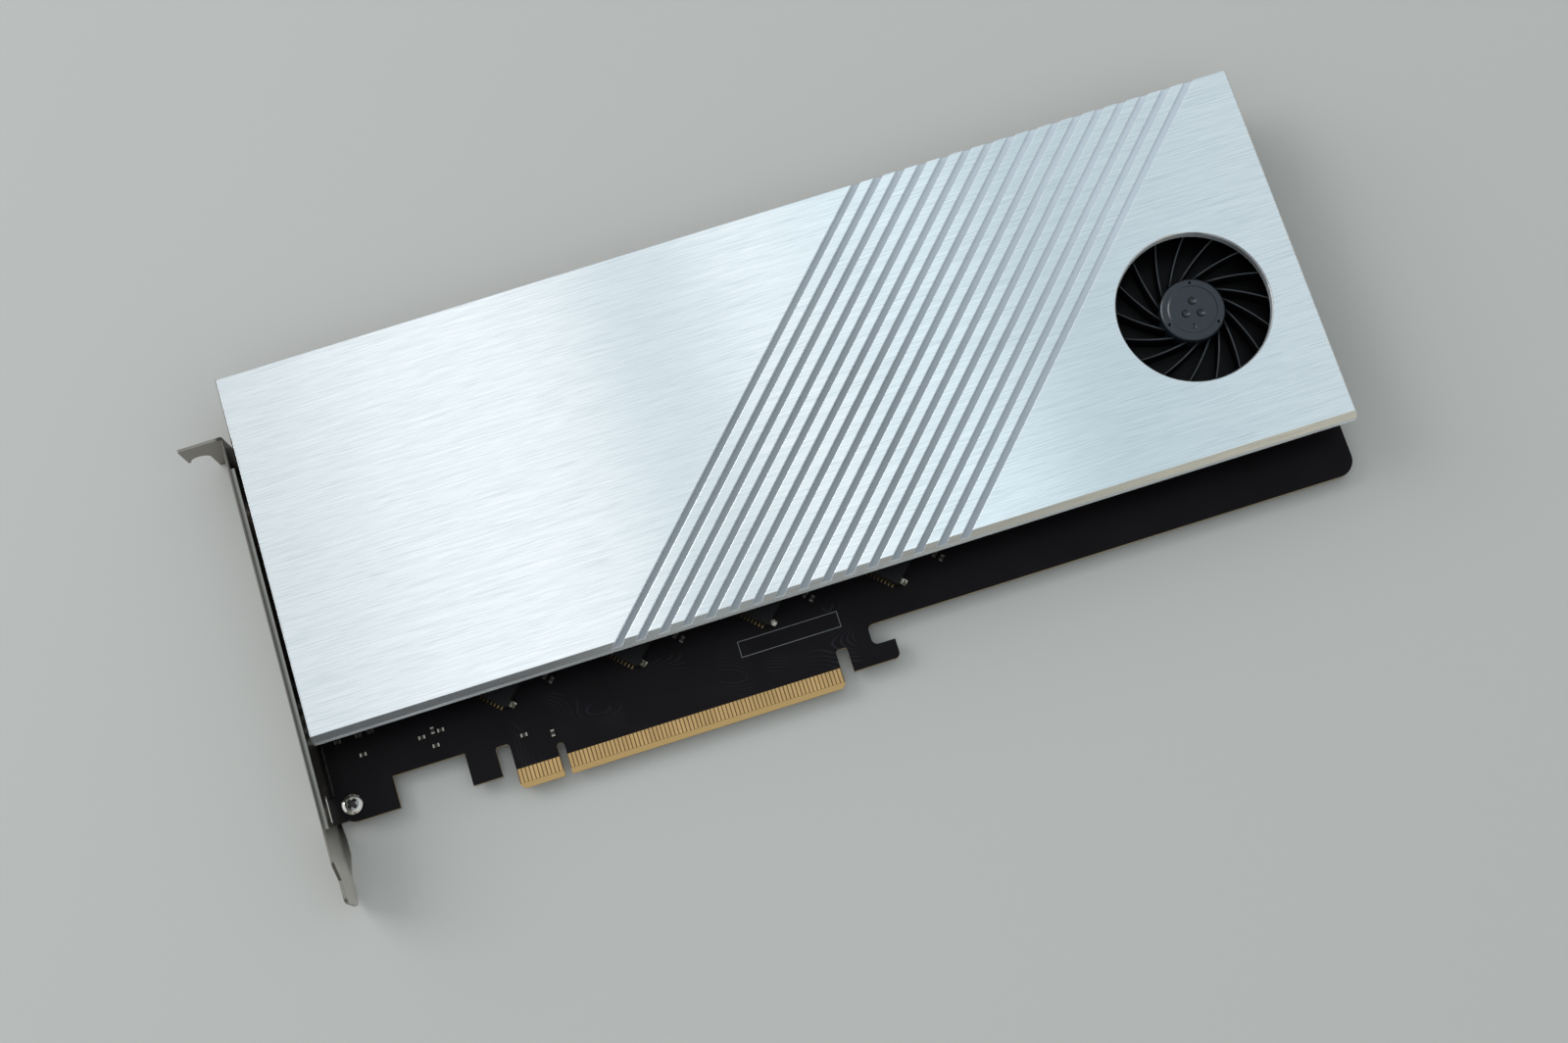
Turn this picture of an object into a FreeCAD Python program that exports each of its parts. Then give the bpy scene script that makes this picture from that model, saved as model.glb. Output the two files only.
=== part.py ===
"""An x16 adapter card that carries four M.2 solid-state drives under a finned metal cover with a blower fan.

Frame: the origin is the middle of the key notch, on the lower edge of the edge connector and on the
component face of the board.  +X runs along the connector towards the fan, +Y runs up the board away from
the connector, and +Z rises out of the component face.  Everything is in millimetres.
"""

import FreeCAD
import Part
import Sketcher

import math
import os
import re

SIZES = [
    # circuit board
    ("board_thick", 1.57, "thickness of the circuit board"),
    ("board_left", -57.2, "edge of the board beside the bracket"),
    ("board_right", 211.3, "far edge of the board"),
    ("board_top", 118.5, "upper edge of the board"),
    ("board_low", 13.25, "lower edge of the board past the retaining hook"),
    ("shoulder_wide", 9.2, "width of the step that clears the bracket's tab"),
    ("shoulder_deep", 11.0, "depth of the step that clears the bracket's tab"),
    ("corner_radius", 4.5, "rounded corners of the board"),
    ("foot_wide", 15.1, "width of the foot that the bracket screw holds"),
    ("foot_low", 4.6, "lower edge of that foot"),
    ("gap_top", 12.86, "top of the cut-out beside the foot"),
    ("tooth_left", -23.4, "left side of the small tooth"),
    ("tooth_wide", 7.6, "width of the small tooth"),
    ("tooth_low", 4.4, "lower edge of the small tooth"),
    ("slot_top", 11.9, "top of the slot between the tooth and the connector"),
    # edge connector
    ("short_edge", 12.15, "end of the short run of contacts, from the key's middle"),
    ("long_edge", 72.15, "end of the long run of contacts, from the key's middle"),
    ("key_wide", 1.9, "width of the key notch"),
    ("key_top", 8.25, "top of the key notch"),
    ("edge_bevel", 1.3, "height of the connector's bevel"),
    ("bevel_deep", 0.42, "depth of the connector's bevel on each face"),
    ("edge_corner", 1.0, "cut corners of the connector"),
    ("contact_pitch", 1.0, "spacing of the contacts"),
    ("contact_wide", 0.7, "width of a contact"),
    ("contact_high", 3.6, "height of a contact"),
    ("contact_thick", 0.06, "thickness of a contact"),
    ("short_contacts", 11, "contacts in the short run"),
    ("long_contacts", 71, "contacts in the long run"),
    # retaining hook
    ("hook_gap", 3.0, "slot between the connector and the hook"),
    ("hook_slot_top", 9.6, "top of that slot"),
    ("hook_low", 3.15, "lower edge of the hook"),
    ("hook_wide", 12.2, "width of the hook's foot"),
    ("hook_foot_high", 4.85, "height of the hook's foot"),
    ("hook_neck", 6.5, "width of the hook's neck"),
    ("hook_radius", 1.5, "rounding inside the hook"),
    # cover
    ("cover_left", -57.0, "edge of the cover beside the bracket"),
    ("cover_long", 269.6, "length of the cover"),
    ("cover_front", 24.0, "front edge of the cover"),
    ("cover_wide", 97.1, "width of the cover"),
    ("cover_top", 14.0, "height of the cover's face above the board"),
    ("cover_edge", 4.4, "thickness of the cover at its edges"),
    ("front_bevel", 1.6, "bevel along the cover's front edge"),
    ("edge_break", 0.35, "fine bevel on the cover's other edges"),
    ("cover_skin", 2.6, "thickness of the cover's face"),
    ("cover_rim", 3.0, "thickness of the cover's rim"),
    ("groove_first", 22.25, "first groove where it meets the front of the face"),
    ("groove_pitch", 5.96, "spacing of the grooves along the front edge"),
    ("groove_wide", 1.8, "width of a groove"),
    ("groove_deep", 1.2, "depth of a groove"),
    ("groove_count", 16, "number of grooves"),
    ("lean", 46.3, "angle between the grooves and the long edge, in degrees"),
    # drive bays
    ("bay_first", -10.1, "lowest corner of the first socket, along the card"),
    ("bay_low", 20.2, "lowest corner of the sockets, above the connector's edge"),
    ("bay_pitch", 34.1, "spacing of the bays along the card"),
    ("bay_count", 4, "number of bays"),
    ("socket_long", 22.0, "length of a socket"),
    ("socket_wide", 8.6, "width of a socket"),
    ("socket_high", 3.4, "height of a socket"),
    ("mouth_high", 1.4, "height of a socket's mouth"),
    ("mouth_deep", 4.8, "depth of a socket's mouth"),
    ("mouth_floor", 1.3, "height of the mouth's lower lip"),
    ("key_web", 1.2, "width of the key in a socket's mouth"),
    ("key_place", 5.6, "key's distance from the end of a socket"),
    ("leg_pitch", 1.0, "spacing of a socket's legs"),
    ("leg_count", 20, "number of legs behind a socket"),
    ("leg_wide", 0.4, "width of a leg"),
    ("leg_out", 0.9, "length of a leg"),
    ("leg_thick", 0.18, "thickness of a leg"),
    ("anchor_wide", 1.5, "width of a socket's solder anchor"),
    ("anchor_high", 1.1, "height of a socket's solder anchor"),
    ("bay_start", 4.0, "place in a socket where a drive's length begins"),
    ("drive_long", 80.0, "length of the drives that the screws are set for"),
    ("post_radius", 2.4, "radius of a drive post"),
    ("post_high", 2.3, "height of a drive post"),
    ("post_bore", 0.95, "radius of a drive post's thread"),
    ("pad_thick", 1.2, "thickness of a thermal pad"),
    ("rail_low", 6.3, "underside of the cover's cooling rails"),
    ("rail_start", 12.0, "start of a cooling rail, from the socket's back"),
    ("rail_long", 99.0, "length of a cooling rail"),
    ("rail_margin", 1.0, "a cooling rail's distance from the side of its bay"),
    # cover posts and screws
    ("boss_radius", 3.0, "radius of a post under the cover"),
    ("screw_radius", 1.2, "radius of a cover screw"),
    ("screw_head", 2.3, "radius of a screw head"),
    ("head_high", 1.3, "height of a screw head"),
    ("thread_play", 0.05, "play between a screw and its thread"),
    ("hole_play", 0.25, "play between a screw and its hole in the board"),
    ("screw_reach", 6.0, "length of a cover screw above the board"),
    # fan
    ("fan_x", 183.7, "fan axis along the card"),
    ("fan_y", 63.2, "fan axis above the connector's edge"),
    ("intake_radius", 19.4, "radius of the cover's round intake"),
    ("hub_radius", 8.3, "radius of the impeller's hub"),
    ("hub_top", 11.9, "height of the hub's face above the board"),
    ("hub_wall", 0.9, "wall of the hub"),
    ("hub_dish_radius", 6.1, "radius of the shallow dish in the hub's face"),
    ("hub_dish", 0.25, "depth of that dish"),
    ("rotor_radius", 21.6, "radius of the impeller"),
    ("rotor_low", 3.4, "underside of the impeller's disc"),
    ("disc_thick", 0.9, "thickness of the impeller's disc"),
    ("blade_top", 10.2, "height of the blades' edges above the board"),
    ("blade_thick", 0.55, "thickness of a blade"),
    ("blade_count", 17, "number of blades"),
    ("blade_sweep", 40.0, "turn of a blade from the hub to its tip, in degrees"),
    ("blade_bow", 0.8, "bow of a blade between its ends"),
    ("case_floor", 0.9, "underside of the fan case above the board"),
    ("case_plate", 1.1, "thickness of the fan case's floor"),
    ("case_wall", 1.2, "wall of the fan case"),
    ("case_gap", 1.5, "least gap between the impeller and the fan case"),
    ("case_growth", 1.0, "growth of the fan case's scroll in each quarter turn"),
    ("case_headroom", 0.3, "gap between the fan case and the cover's face"),
    ("shaft_radius", 0.9, "radius of the fan's shaft"),
    ("shaft_play", 0.04, "play between the shaft and its bearing"),
    ("bearing_radius", 2.2, "radius of the bearing sleeve"),
    ("bearing_top", 8.6, "height of the bearing sleeve's top"),
    ("sleeve_wall", 0.8, "wall of the post around the bearing"),
    ("coil_radius", 5.6, "radius of the motor's stator"),
    ("coil_low", 4.6, "underside of the stator"),
    ("coil_high", 3.6, "height of the stator"),
    ("magnet_wall", 1.0, "wall of the rotor's magnet ring"),
    ("motor_play", 0.4, "gap between still and turning motor parts"),
    ("ear_out", 4.6, "how far the fan case's ears stand out"),
    # bracket
    ("bracket_face", -59.6, "outer face of the bracket"),
    ("sheet_thick", 0.86, "thickness of the bracket's sheet"),
    ("bracket_low", -4.1, "edge of the bracket below the board"),
    ("bracket_high", 14.3, "edge of the bracket above the board"),
    ("tab_height", 105.95, "top face of the bracket's tab"),
    ("tab_long", 10.9, "reach of the bracket's tab"),
    ("notch_radius", 2.6, "radius of the tab's screw notch"),
    ("notch_out", 7.6, "notch's distance from the bracket's outer face"),
    ("notch_rise", 8.6, "notch's middle above the bracket's lower edge"),
    ("flange_low", 2.6, "lower end of the bracket's folded edge"),
    ("flange_high", 97.0, "upper end of the bracket's folded edge"),
    ("flange_deep", 1.8, "depth of the bracket's folded edge"),
    ("rear_flange_deep", 1.55, "depth of the folded edge behind the board"),
    ("rear_foot_deep", 2.0, "depth of that edge at its foot"),
    ("rear_foot_start", 6.0, "height where that foot begins to widen"),
    ("rear_foot_top", 1.7, "upper end of that foot's full depth"),
    ("rear_foot_low", -2.3, "lower end of that foot's full depth"),
    ("rear_foot_tip", -7.6, "tip of that foot"),
    ("fold_radius", 0.7, "outer radius of the bracket's folds"),
    ("tongue_tip", -15.2, "tip of the bracket's tongue"),
    ("taper_top", -5.4, "start of the tongue's taper"),
    ("taper_low", -9.6, "end of the tongue's taper"),
    ("tongue_high", 10.1, "upper edge of the tongue"),
    ("tongue_low", -2.6, "lower edge of the tongue at its tip"),
    ("lug_wide", 6.8, "width of a bracket lug"),
    ("lug_long", 9.6, "length of a bracket lug"),
    ("window_high", 5.8, "height of the opening in the bracket above a lug"),
    ("lug_first", 9.0, "height of the lower bracket screw"),
    ("lug_apart", 80.0, "distance between the bracket screws"),
    ("lug_screw", 6.28, "bracket screw's distance from the bracket's outer face"),
    ("fix_radius", 1.45, "radius of a bracket screw"),
    ("fix_head", 2.65, "radius of a bracket screw's head"),
    ("fix_head_high", 1.9, "height of a bracket screw's head"),
    ("vent_wide", 2.4, "width of a vent slot"),
    ("vent_long", 4.2, "length of a vent slot"),
    ("vent_low", 0.6, "lower end of a vent slot"),
    ("vent_first", 50.0, "first vent slot along the bracket"),
    ("vent_pitch", 4.0, "spacing of the vent slots"),
    ("vent_count", 9, "number of vent slots"),
    # switch and lamps at the bracket
    ("lamp_first", 27.0, "first status lamp along the bracket"),
    ("lamp_pitch", 3.2, "spacing of the status lamps"),
    ("lamp_radius", 0.7, "radius of a status lamp's nose"),
    ("lamp_height", 1.5, "height of a status lamp's axis above the board"),
    ("switch_place", 43.0, "middle of the fan switch along the bracket"),
    ("switch_long", 6.6, "length of the fan switch"),
    ("switch_wide", 2.8, "depth of the fan switch"),
    ("switch_high", 2.6, "height of the fan switch"),
    ("nub_wide", 1.4, "width of the switch's nub"),
    ("nub_high", 1.1, "height of the switch's nub"),
    ("nub_travel", 1.5, "travel of the switch's nub"),
    ("nub_play", 0.15, "play around the switch's nub"),
    ("nub_out", 1.1, "how far the nub stands out of the bracket"),
    ("nub_reach", 1.5, "how far the nub reaches into the switch"),
    # other parts on the board
    ("coil_side", 7.0, "side of a power inductor"),
    ("inductor_high", 4.0, "height of a power inductor"),
    ("can_radius", 3.1, "radius of a capacitor"),
    ("can_high", 5.6, "height of a capacitor"),
    ("chip_side", 6.0, "side of a clock chip"),
    ("chip_high", 0.9, "height of a clock chip"),
    ("small_long", 1.7, "length of a small ceramic part"),
    ("small_wide", 0.9, "width of a small ceramic part"),
    ("small_high", 0.7, "height of a small ceramic part"),
    ("cap_long", 0.4, "length of its end caps"),
    ("power_x", -38.0, "first inductor along the card"),
    ("power_y", 88.0, "row of inductors above the connector's edge"),
    ("power_pitch", 11.0, "spacing of the power parts"),
    ("header_x", 142.0, "corner of the fan's plug seat along the card"),
    ("header_y", 27.0, "corner of that seat above the connector's edge"),
    ("header_long", 8.0, "length of that seat"),
    ("header_wide", 3.4, "width of that seat"),
    ("header_high", 4.4, "height of that seat"),
    ("seat_gap", 0.02, "solder film under a part on the board"),
]

PLACES = [
    ("board_back", "-board_thick"),
    ("foot_right", "board_left + foot_wide"),
    ("tooth_right", "tooth_left + tooth_wide"),
    ("shoulder_right", "board_left + shoulder_wide"),
    ("shoulder_low", "board_top - shoulder_deep"),
    ("short_left", "-short_edge"),
    ("short_cut", "-short_edge + edge_corner"),
    ("long_cut", "long_edge - edge_corner"),
    ("key_left", "-key_wide / 2"),
    ("key_right", "key_wide / 2"),
    ("hook_left", "long_edge + hook_gap"),
    ("hook_right", "long_edge + hook_gap + hook_wide"),
    ("hook_inside", "long_edge + hook_gap + hook_neck"),
    ("hook_step", "hook_low + hook_foot_high"),
    ("contact_low", "edge_bevel + 0.05"),
    ("contact_end", "edge_bevel + 0.05 + contact_high"),
    ("cover_right", "cover_left + cover_long"),
    ("cover_back", "cover_front + cover_wide"),
    ("cover_low", "cover_top - cover_edge"),
    ("skin_low", "cover_top - cover_skin"),
    ("rim_left", "cover_left + cover_rim"),
    ("rim_right", "cover_left + cover_long - cover_rim"),
    ("rim_front", "cover_front + cover_rim"),
    ("rim_back", "cover_front + cover_wide - cover_rim"),
    ("face_front", "cover_front + front_bevel"),
    ("pad_low", "rail_low - pad_thick"),
    ("rail_side", "socket_long - rail_margin"),
    ("rail_end", "rail_start + rail_long"),
    ("case_bed", "case_floor + case_plate"),
    ("case_top", "cover_top - cover_skin - case_headroom"),
    ("bracket_inside", "bracket_face + sheet_thick"),
    ("flange_inside", "bracket_face + flange_deep"),
    ("rear_edge", "bracket_face + rear_flange_deep"),
    ("rear_foot", "bracket_face + rear_foot_deep"),
    ("tab_end", "bracket_face - tab_long"),
    ("tab_under", "tab_height - sheet_thick"),
    ("lug_x", "bracket_face + lug_screw"),
    ("lug_end", "bracket_face + lug_long"),
    ("lug_back", "-board_thick - sheet_thick"),
    ("notch_x", "bracket_face - notch_out"),
    ("notch_z", "bracket_low + notch_rise"),
    ("notch_right", "bracket_face - notch_out + notch_radius"),
    ("notch_left", "bracket_face - notch_out - notch_radius"),
    ("flange_base", "bracket_high - sheet_thick"),
    ("lug_bottom", "lug_first - lug_wide / 2"),
    ("lug_above", "lug_first + lug_wide / 2"),
    ("window_top", "window_high - board_thick"),
    ("vent_radius", "vent_wide / 2"),
    ("vent_foot", "vent_low + vent_wide / 2"),
    ("vent_head", "vent_low + vent_long - vent_wide / 2"),
    ("lamp_bore", "lamp_radius + nub_play"),
    ("switch_left", "board_left - 0.2"),
    ("lamp_back", "board_left + 0.4"),
    ("gate_left", "switch_place - (nub_wide + nub_travel) / 2 - nub_play"),
    ("gate_right", "switch_place + (nub_wide + nub_travel) / 2 + nub_play"),
    ("gate_low", "seat_gap + (switch_high - nub_high) / 2 - nub_play"),
    ("gate_high", "seat_gap + (switch_high + nub_high) / 2 + nub_play"),
    ("groove_start", "-front_bevel - 3 * groove_wide"),
    ("groove_end", "cover_wide / sin(lean * 1deg) + 3 * groove_wide"),
    ("groove_right", "-groove_wide / 2"),
    ("groove_left", "groove_wide / 2"),
    ("case_radius", "rotor_radius + case_gap"),
    ("ear_radius", "screw_head + 0.6"),
    ("ear_reach", "(rotor_radius + case_gap + case_wall + ear_out) * sqrt(0.5)"),
    ("post_out", "bearing_radius + sleeve_wall"),
    ("hub_hollow", "hub_radius - hub_wall"),
    ("hub_roof", "hub_top - hub_dish - hub_wall"),
    ("hub_boss", "2 * shaft_radius"),
    ("hub_boss_low", "bearing_top + motor_play"),
    ("hub_shoulder", "hub_top - edge_break"),
    ("hub_neck", "hub_radius - edge_break"),
    ("dish_floor", "hub_top - hub_dish"),
    ("disc_top", "rotor_low + disc_thick"),
    ("disc_under", "rotor_low + disc_thick / 2"),
    ("screw_hole", "screw_radius + hole_play"),
    ("screw_thread", "screw_radius + thread_play"),
    ("fix_hole", "fix_radius + hole_play"),
    ("fix_thread", "fix_radius + thread_play"),
    ("lug_second", "lug_first + lug_apart"),
    ("beyond", "2 * edge_bevel"),
    ("bevel_front", "-bevel_deep"),
    ("bevel_back", "bevel_deep - board_thick"),
    ("short_contact_left", "-(short_contacts + 0.5) * contact_pitch - contact_wide / 2"),
    ("short_contact_right", "-(short_contacts + 0.5) * contact_pitch + contact_wide / 2"),
    ("long_contact_left", "1.5 * contact_pitch - contact_wide / 2"),
    ("long_contact_right", "1.5 * contact_pitch + contact_wide / 2"),
]

BOSSES = [
    ("boss_a", "cover_left + 8.5", "cover_front + 9"),
    ("boss_b", "cover_left + 8.5", "lug_second + 9.1"),
    ("boss_c", "cover_left + 62", "cover_back - 9"),
    ("boss_d", "bay_first + bay_pitch + 16.6", "bay_low + 9.9"),
    ("boss_e", "bay_first + 3 * bay_pitch + 33", "cover_front + 8"),
    ("boss_f", "cover_right - 7.5", "cover_front + 7"),
    ("boss_g", "cover_right - 7.5", "cover_back - 9"),
]

EARS = [
    ("ear_a", "fan_x + ear_reach", "fan_y - ear_reach"),
    ("ear_b", "fan_x + ear_reach", "fan_y + ear_reach"),
    ("ear_c", "fan_x - ear_reach", "fan_y - ear_reach"),
]

for spot, across, above in BOSSES + EARS:
    PLACES += [(f"{spot}_x", across), (f"{spot}_y", above)]

DRIVE_LENGTHS = (42, 60, 80, 110)

WORDS = {name for name, *_ in SIZES} | {name for name, _ in PLACES}


def open_document():
    """Makes the document with its sheet of driving dimensions and the set of places worked out from them."""
    document = FreeCAD.newDocument("adapter_card")
    sheet = document.addObject("Spreadsheet::Sheet", "size")
    for row, (name, value, note) in enumerate(SIZES, start=1):
        sheet.set(f"A{row}", note)
        sheet.set(f"B{row}", str(value))
        sheet.setAlias(f"B{row}", name)
    places = document.addObject("App::VarSet", "place")
    document.recompute()
    for name, formula in PLACES:
        places.addProperty("App::PropertyFloat", name, "Places")
        places.setExpression(name, full(formula))
    document.recompute()
    return document, sheet, places


def full(formula):
    """A formula in plain words, such as 'cover_top - cover_edge', with each word pointing at its cell."""
    sizes = {name for name, *_ in SIZES}
    return re.sub(
        r"[a-z][a-z_]*",
        lambda m: m.group() if m.group() not in WORDS else ("size." if m.group() in sizes else "place.") + m.group(),
        formula,
    )


doc, size, place = open_document()


def val(word):
    """The number behind a word, which may start with a minus sign."""
    sign, name = (-1, word[1:]) if word.startswith("-") else (1, word)
    return sign * float(getattr(size if name in {n for n, *_ in SIZES} else place, name))


def bind(thing, **formulas):
    """Ties each named property to a formula; a double underscore in the keyword stands for a dot."""
    for key, formula in formulas.items():
        thing.setExpression(key.replace("__", "."), full(formula))
    return thing


# ---------------------------------------------------------------- helpers


def body(name, many=False):
    """A new body, which may hold several separate solids."""
    made = doc.addObject("PartDesign::Body", name)
    made.AllowCompound = many
    return made


def datum(holder, role):
    """One of a body's own origin planes or axes."""
    return next(f for f in holder.Origin.OriginFeatures if f.Role == role)


def sketch(holder, name, role="XY_Plane", **offsets):
    """A sketch on one of a body's origin planes, shifted or turned by formulas for its attachment."""
    made = holder.newObject("Sketcher::SketchObject", name)
    made.AttachmentSupport = [(datum(holder, role), "")]
    made.MapMode = "FlatFace"
    return bind(made, **{"AttachmentOffset__" + key: formula for key, formula in offsets.items()})


def pin_point(drawing, geometry, end, x, y):
    """Holds one point of a sketch at two named places."""
    for kind, axis, word in (("DistanceX", -2, x), ("DistanceY", -1, y)):
        if word == "0":
            drawing.addConstraint(Sketcher.Constraint("PointOnObject", geometry, end, axis))
            continue
        index = drawing.addConstraint(Sketcher.Constraint(kind, geometry, end, val(word)))
        drawing.renameConstraint(index, f"{kind}{geometry}_{end}")
        drawing.setExpression(f".Constraints.{kind}{geometry}_{end}", full(word))


def outline(drawing, corners):
    """A closed outline of straight edges through corners given as pairs of words."""
    spots = [FreeCAD.Vector(*[0 if w == "0" else val(w) for w in corner], 0) for corner in corners]
    first = drawing.GeometryCount
    for here, there in zip(spots, spots[1:] + spots[:1]):
        drawing.addGeometry(Part.LineSegment(here, there), False)
    count = len(corners)
    for step in range(count):
        drawing.addConstraint(
            Sketcher.Constraint("Coincident", first + step, 2, first + (step + 1) % count, 1)
        )
    for step, (x, y) in enumerate(corners):
        pin_point(drawing, first + step, 1, x, y)
    return drawing


def ring(drawing, x, y, radius):
    """A circle whose middle and radius are given in words."""
    middle = FreeCAD.Vector(*[0 if w == "0" else val(w) for w in (x, y)], 0)
    index = drawing.addGeometry(Part.Circle(middle, FreeCAD.Vector(0, 0, 1), val(radius)), False)
    pin_point(drawing, index, 3, x, y)
    held = drawing.addConstraint(Sketcher.Constraint("Radius", index, val(radius)))
    drawing.renameConstraint(held, f"Radius{index}")
    drawing.setExpression(f".Constraints.Radius{index}", full(radius))
    return drawing


def pad(holder, name, drawing, length, down=False):
    """Raises a sketch into a solid."""
    made = holder.newObject("PartDesign::Pad", name)
    made.Profile = drawing
    made.Reversed = down
    return bind(made, Length=length)


def cut(holder, name, drawing, length=None, up=False):
    """Cuts a sketch out of the solid, to a depth or all the way through on both sides."""
    made = holder.newObject("PartDesign::Pocket", name)
    made.Profile = drawing
    if length is None:
        made.Type = "ThroughAll"
        made.Midplane = True
        return made
    made.Reversed = up
    return bind(made, Length=length)


def repeat(holder, name, feature, role, length, count):
    """Copies a feature in a row along one of the body's axes."""
    made = holder.newObject("PartDesign::LinearPattern", name)
    made.Originals = [feature]
    made.Direction = (datum(holder, role), [""])
    holder.Tip = made
    return bind(made, Length=length, Occurrences=count)


def edges_where(feature, test):
    """Names of the edges whose middle passes a test."""
    return [f"Edge{n}" for n, e in enumerate(feature.Shape.Edges, start=1) if test(e, middle_of(e))]


def middle_of(edge):
    """The point halfway along an edge."""
    return edge.valueAt((edge.FirstParameter + edge.LastParameter) / 2)


def upright_at(*spots):
    """A test for upright edges that stand on one of some points."""

    def test(edge, middle):
        """True for an edge along Z over one of the points."""
        box = edge.BoundBox
        if box.ZLength < 0.1 or max(box.XLength, box.YLength) > 1e-6:
            return False
        return any(math.hypot(middle.x - x, middle.y - y) < 0.01 for x, y in spots)

    return test


def soften(holder, name, kind, base, test, size_word):
    """Rounds or bevels the edges of a feature that pass a test."""
    doc.recompute()
    made = holder.newObject(f"PartDesign::{kind}", name)
    made.Base = (base, edges_where(base, test))
    key = "Radius" if kind == "Fillet" else "Size"
    return bind(made, **{key: size_word})


def block(name, long, wide, high):
    """A block with named sides."""
    return bind(doc.addObject("Part::Box", name), Length=long, Width=wide, Height=high)


def rod(name, radius, high):
    """A cylinder with named sizes."""
    return bind(doc.addObject("Part::Cylinder", name), Radius=radius, Height=high)


def put(thing, x="0", y="0", z="0", turn=None):
    """Places an object by formulas."""
    bind(thing, Placement__Base__x=x, Placement__Base__y=y, Placement__Base__z=z)
    if turn:
        bind(thing, Placement__Rotation__Angle=turn)
    return thing


def seat(thing, bay, along="0", across="0", z="0"):
    """Places an object in a drive bay's own frame: along the drive, across it, and up from the board."""
    return put(
        thing,
        f"bay_first + {bay} * bay_pitch + ({along}) * cos(lean * 1deg) - ({across}) * sin(lean * 1deg)",
        f"bay_low + ({along}) * sin(lean * 1deg) + ({across}) * cos(lean * 1deg)",
        z,
        "lean",
    )


def joined(name, kind, *pieces):
    """A boolean or a group of earlier objects."""
    made = doc.addObject(f"Part::{kind}", name)
    if kind == "Cut":
        made.Base, made.Tool = pieces
    elif kind == "Compound":
        made.Links = list(pieces)
    else:
        made.Shapes = list(pieces)
    return made


def loose(name, solids):
    """A group of separate solids made with Part's own functions."""
    made = doc.addObject("Part::Feature", name)
    made.Shape = Part.makeCompound(list(solids))
    return made


NODES = []


def node(thing, name):
    """Marks an object as one of the part's pieces, under the name of its file."""
    thing.Label = name
    NODES.append(thing)
    return thing


# ---------------------------------------------------------------- circuit board


def circuit_board():
    """The board: the connector with its key, the slots, the hook, the bracket foot and the screw holes."""
    board = body("circuit_board")
    drawing = outline(
        sketch(board, "board_outline"),
        [
            ("short_left", "edge_corner"),
            ("short_cut", "0"),
            ("key_left", "0"),
            ("key_left", "key_top"),
            ("key_right", "key_top"),
            ("key_right", "0"),
            ("long_cut", "0"),
            ("long_edge", "edge_corner"),
            ("long_edge", "hook_slot_top"),
            ("hook_left", "hook_slot_top"),
            ("hook_left", "hook_low"),
            ("hook_right", "hook_low"),
            ("hook_right", "hook_step"),
            ("hook_inside", "hook_step"),
            ("hook_inside", "board_low"),
            ("board_right", "board_low"),
            ("board_right", "board_top"),
            ("shoulder_right", "board_top"),
            ("shoulder_right", "shoulder_low"),
            ("board_left", "shoulder_low"),
            ("board_left", "foot_low"),
            ("foot_right", "foot_low"),
            ("foot_right", "gap_top"),
            ("tooth_left", "gap_top"),
            ("tooth_left", "tooth_low"),
            ("tooth_right", "tooth_low"),
            ("tooth_right", "slot_top"),
            ("short_left", "slot_top"),
        ],
    )
    slab = pad(board, "board_slab", drawing, "board_thick", down=True)
    big = soften(
        board,
        "big_corners",
        "Fillet",
        slab,
        upright_at(
            (val("board_right"), val("board_low")),
            (val("board_right"), val("board_top")),
            (val("board_left"), val("foot_low")),
        ),
        "corner_radius",
    )
    inner = soften(
        board,
        "hook_corners",
        "Fillet",
        big,
        upright_at(
            (val("hook_inside"), val("hook_step")),
            (val("hook_inside"), val("board_low")),
            (val("hook_right"), val("hook_low")),
        ),
        "hook_radius",
    )
    soften(
        board,
        "slot_ends",
        "Fillet",
        inner,
        upright_at(
            (val("key_left"), val("key_top")),
            (val("key_right"), val("key_top")),
            (val("long_edge"), val("hook_slot_top")),
            (val("hook_left"), val("hook_slot_top")),
            (val("short_left"), val("slot_top")),
            (val("tooth_right"), val("slot_top")),
        ),
        "key_wide * 0.45",
    )
    bevel = sketch(board, "bevel_section", "YZ_Plane")
    outline(bevel, [("0", "bevel_front"), ("edge_bevel", "0"), ("edge_bevel", "beyond"), ("-edge_bevel", "beyond")])
    cut(board, "front_bevel", bevel)
    behind = sketch(board, "back_bevel_section", "YZ_Plane")
    outline(
        behind,
        [("0", "bevel_back"), ("edge_bevel", "board_back"), ("edge_bevel", "-beyond"), ("-edge_bevel", "-beyond")],
    )
    cut(board, "back_bevel", behind)
    holes = sketch(board, "board_holes")
    for name, *_ in BOSSES:
        ring(holes, f"{name}_x", f"{name}_y", "screw_hole")
    for name, *_ in EARS:
        ring(holes, f"{name}_x", f"{name}_y", "screw_hole")
    ring(holes, "lug_x", "lug_first", "fix_hole")
    ring(holes, "lug_x", "lug_second", "fix_hole")
    cut(board, "board_drilling", holes)
    node(board, "circuit_board")


def contacts(name, on_back):
    """The gold contacts of one face: a short and a long row."""
    strip = body(name, many=True)
    level = "-board_thick - contact_thick" if on_back else "0"
    for run, count in (("short", "short_contacts"), ("long", "long_contacts")):
        left, right = f"{run}_contact_left", f"{run}_contact_right"
        drawing = outline(
            sketch(strip, f"{name}_{run}", Base__z=level),
            [(left, "contact_low"), (right, "contact_low"), (right, "contact_end"), (left, "contact_end")],
        )
        one = pad(strip, f"{name}_{run}_one", drawing, "contact_thick")
        repeat(strip, f"{name}_{run}_row", one, "X_Axis", f"({count} - 1) * contact_pitch", count)
    node(strip, name)


# ---------------------------------------------------------------- drive bays


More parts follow.
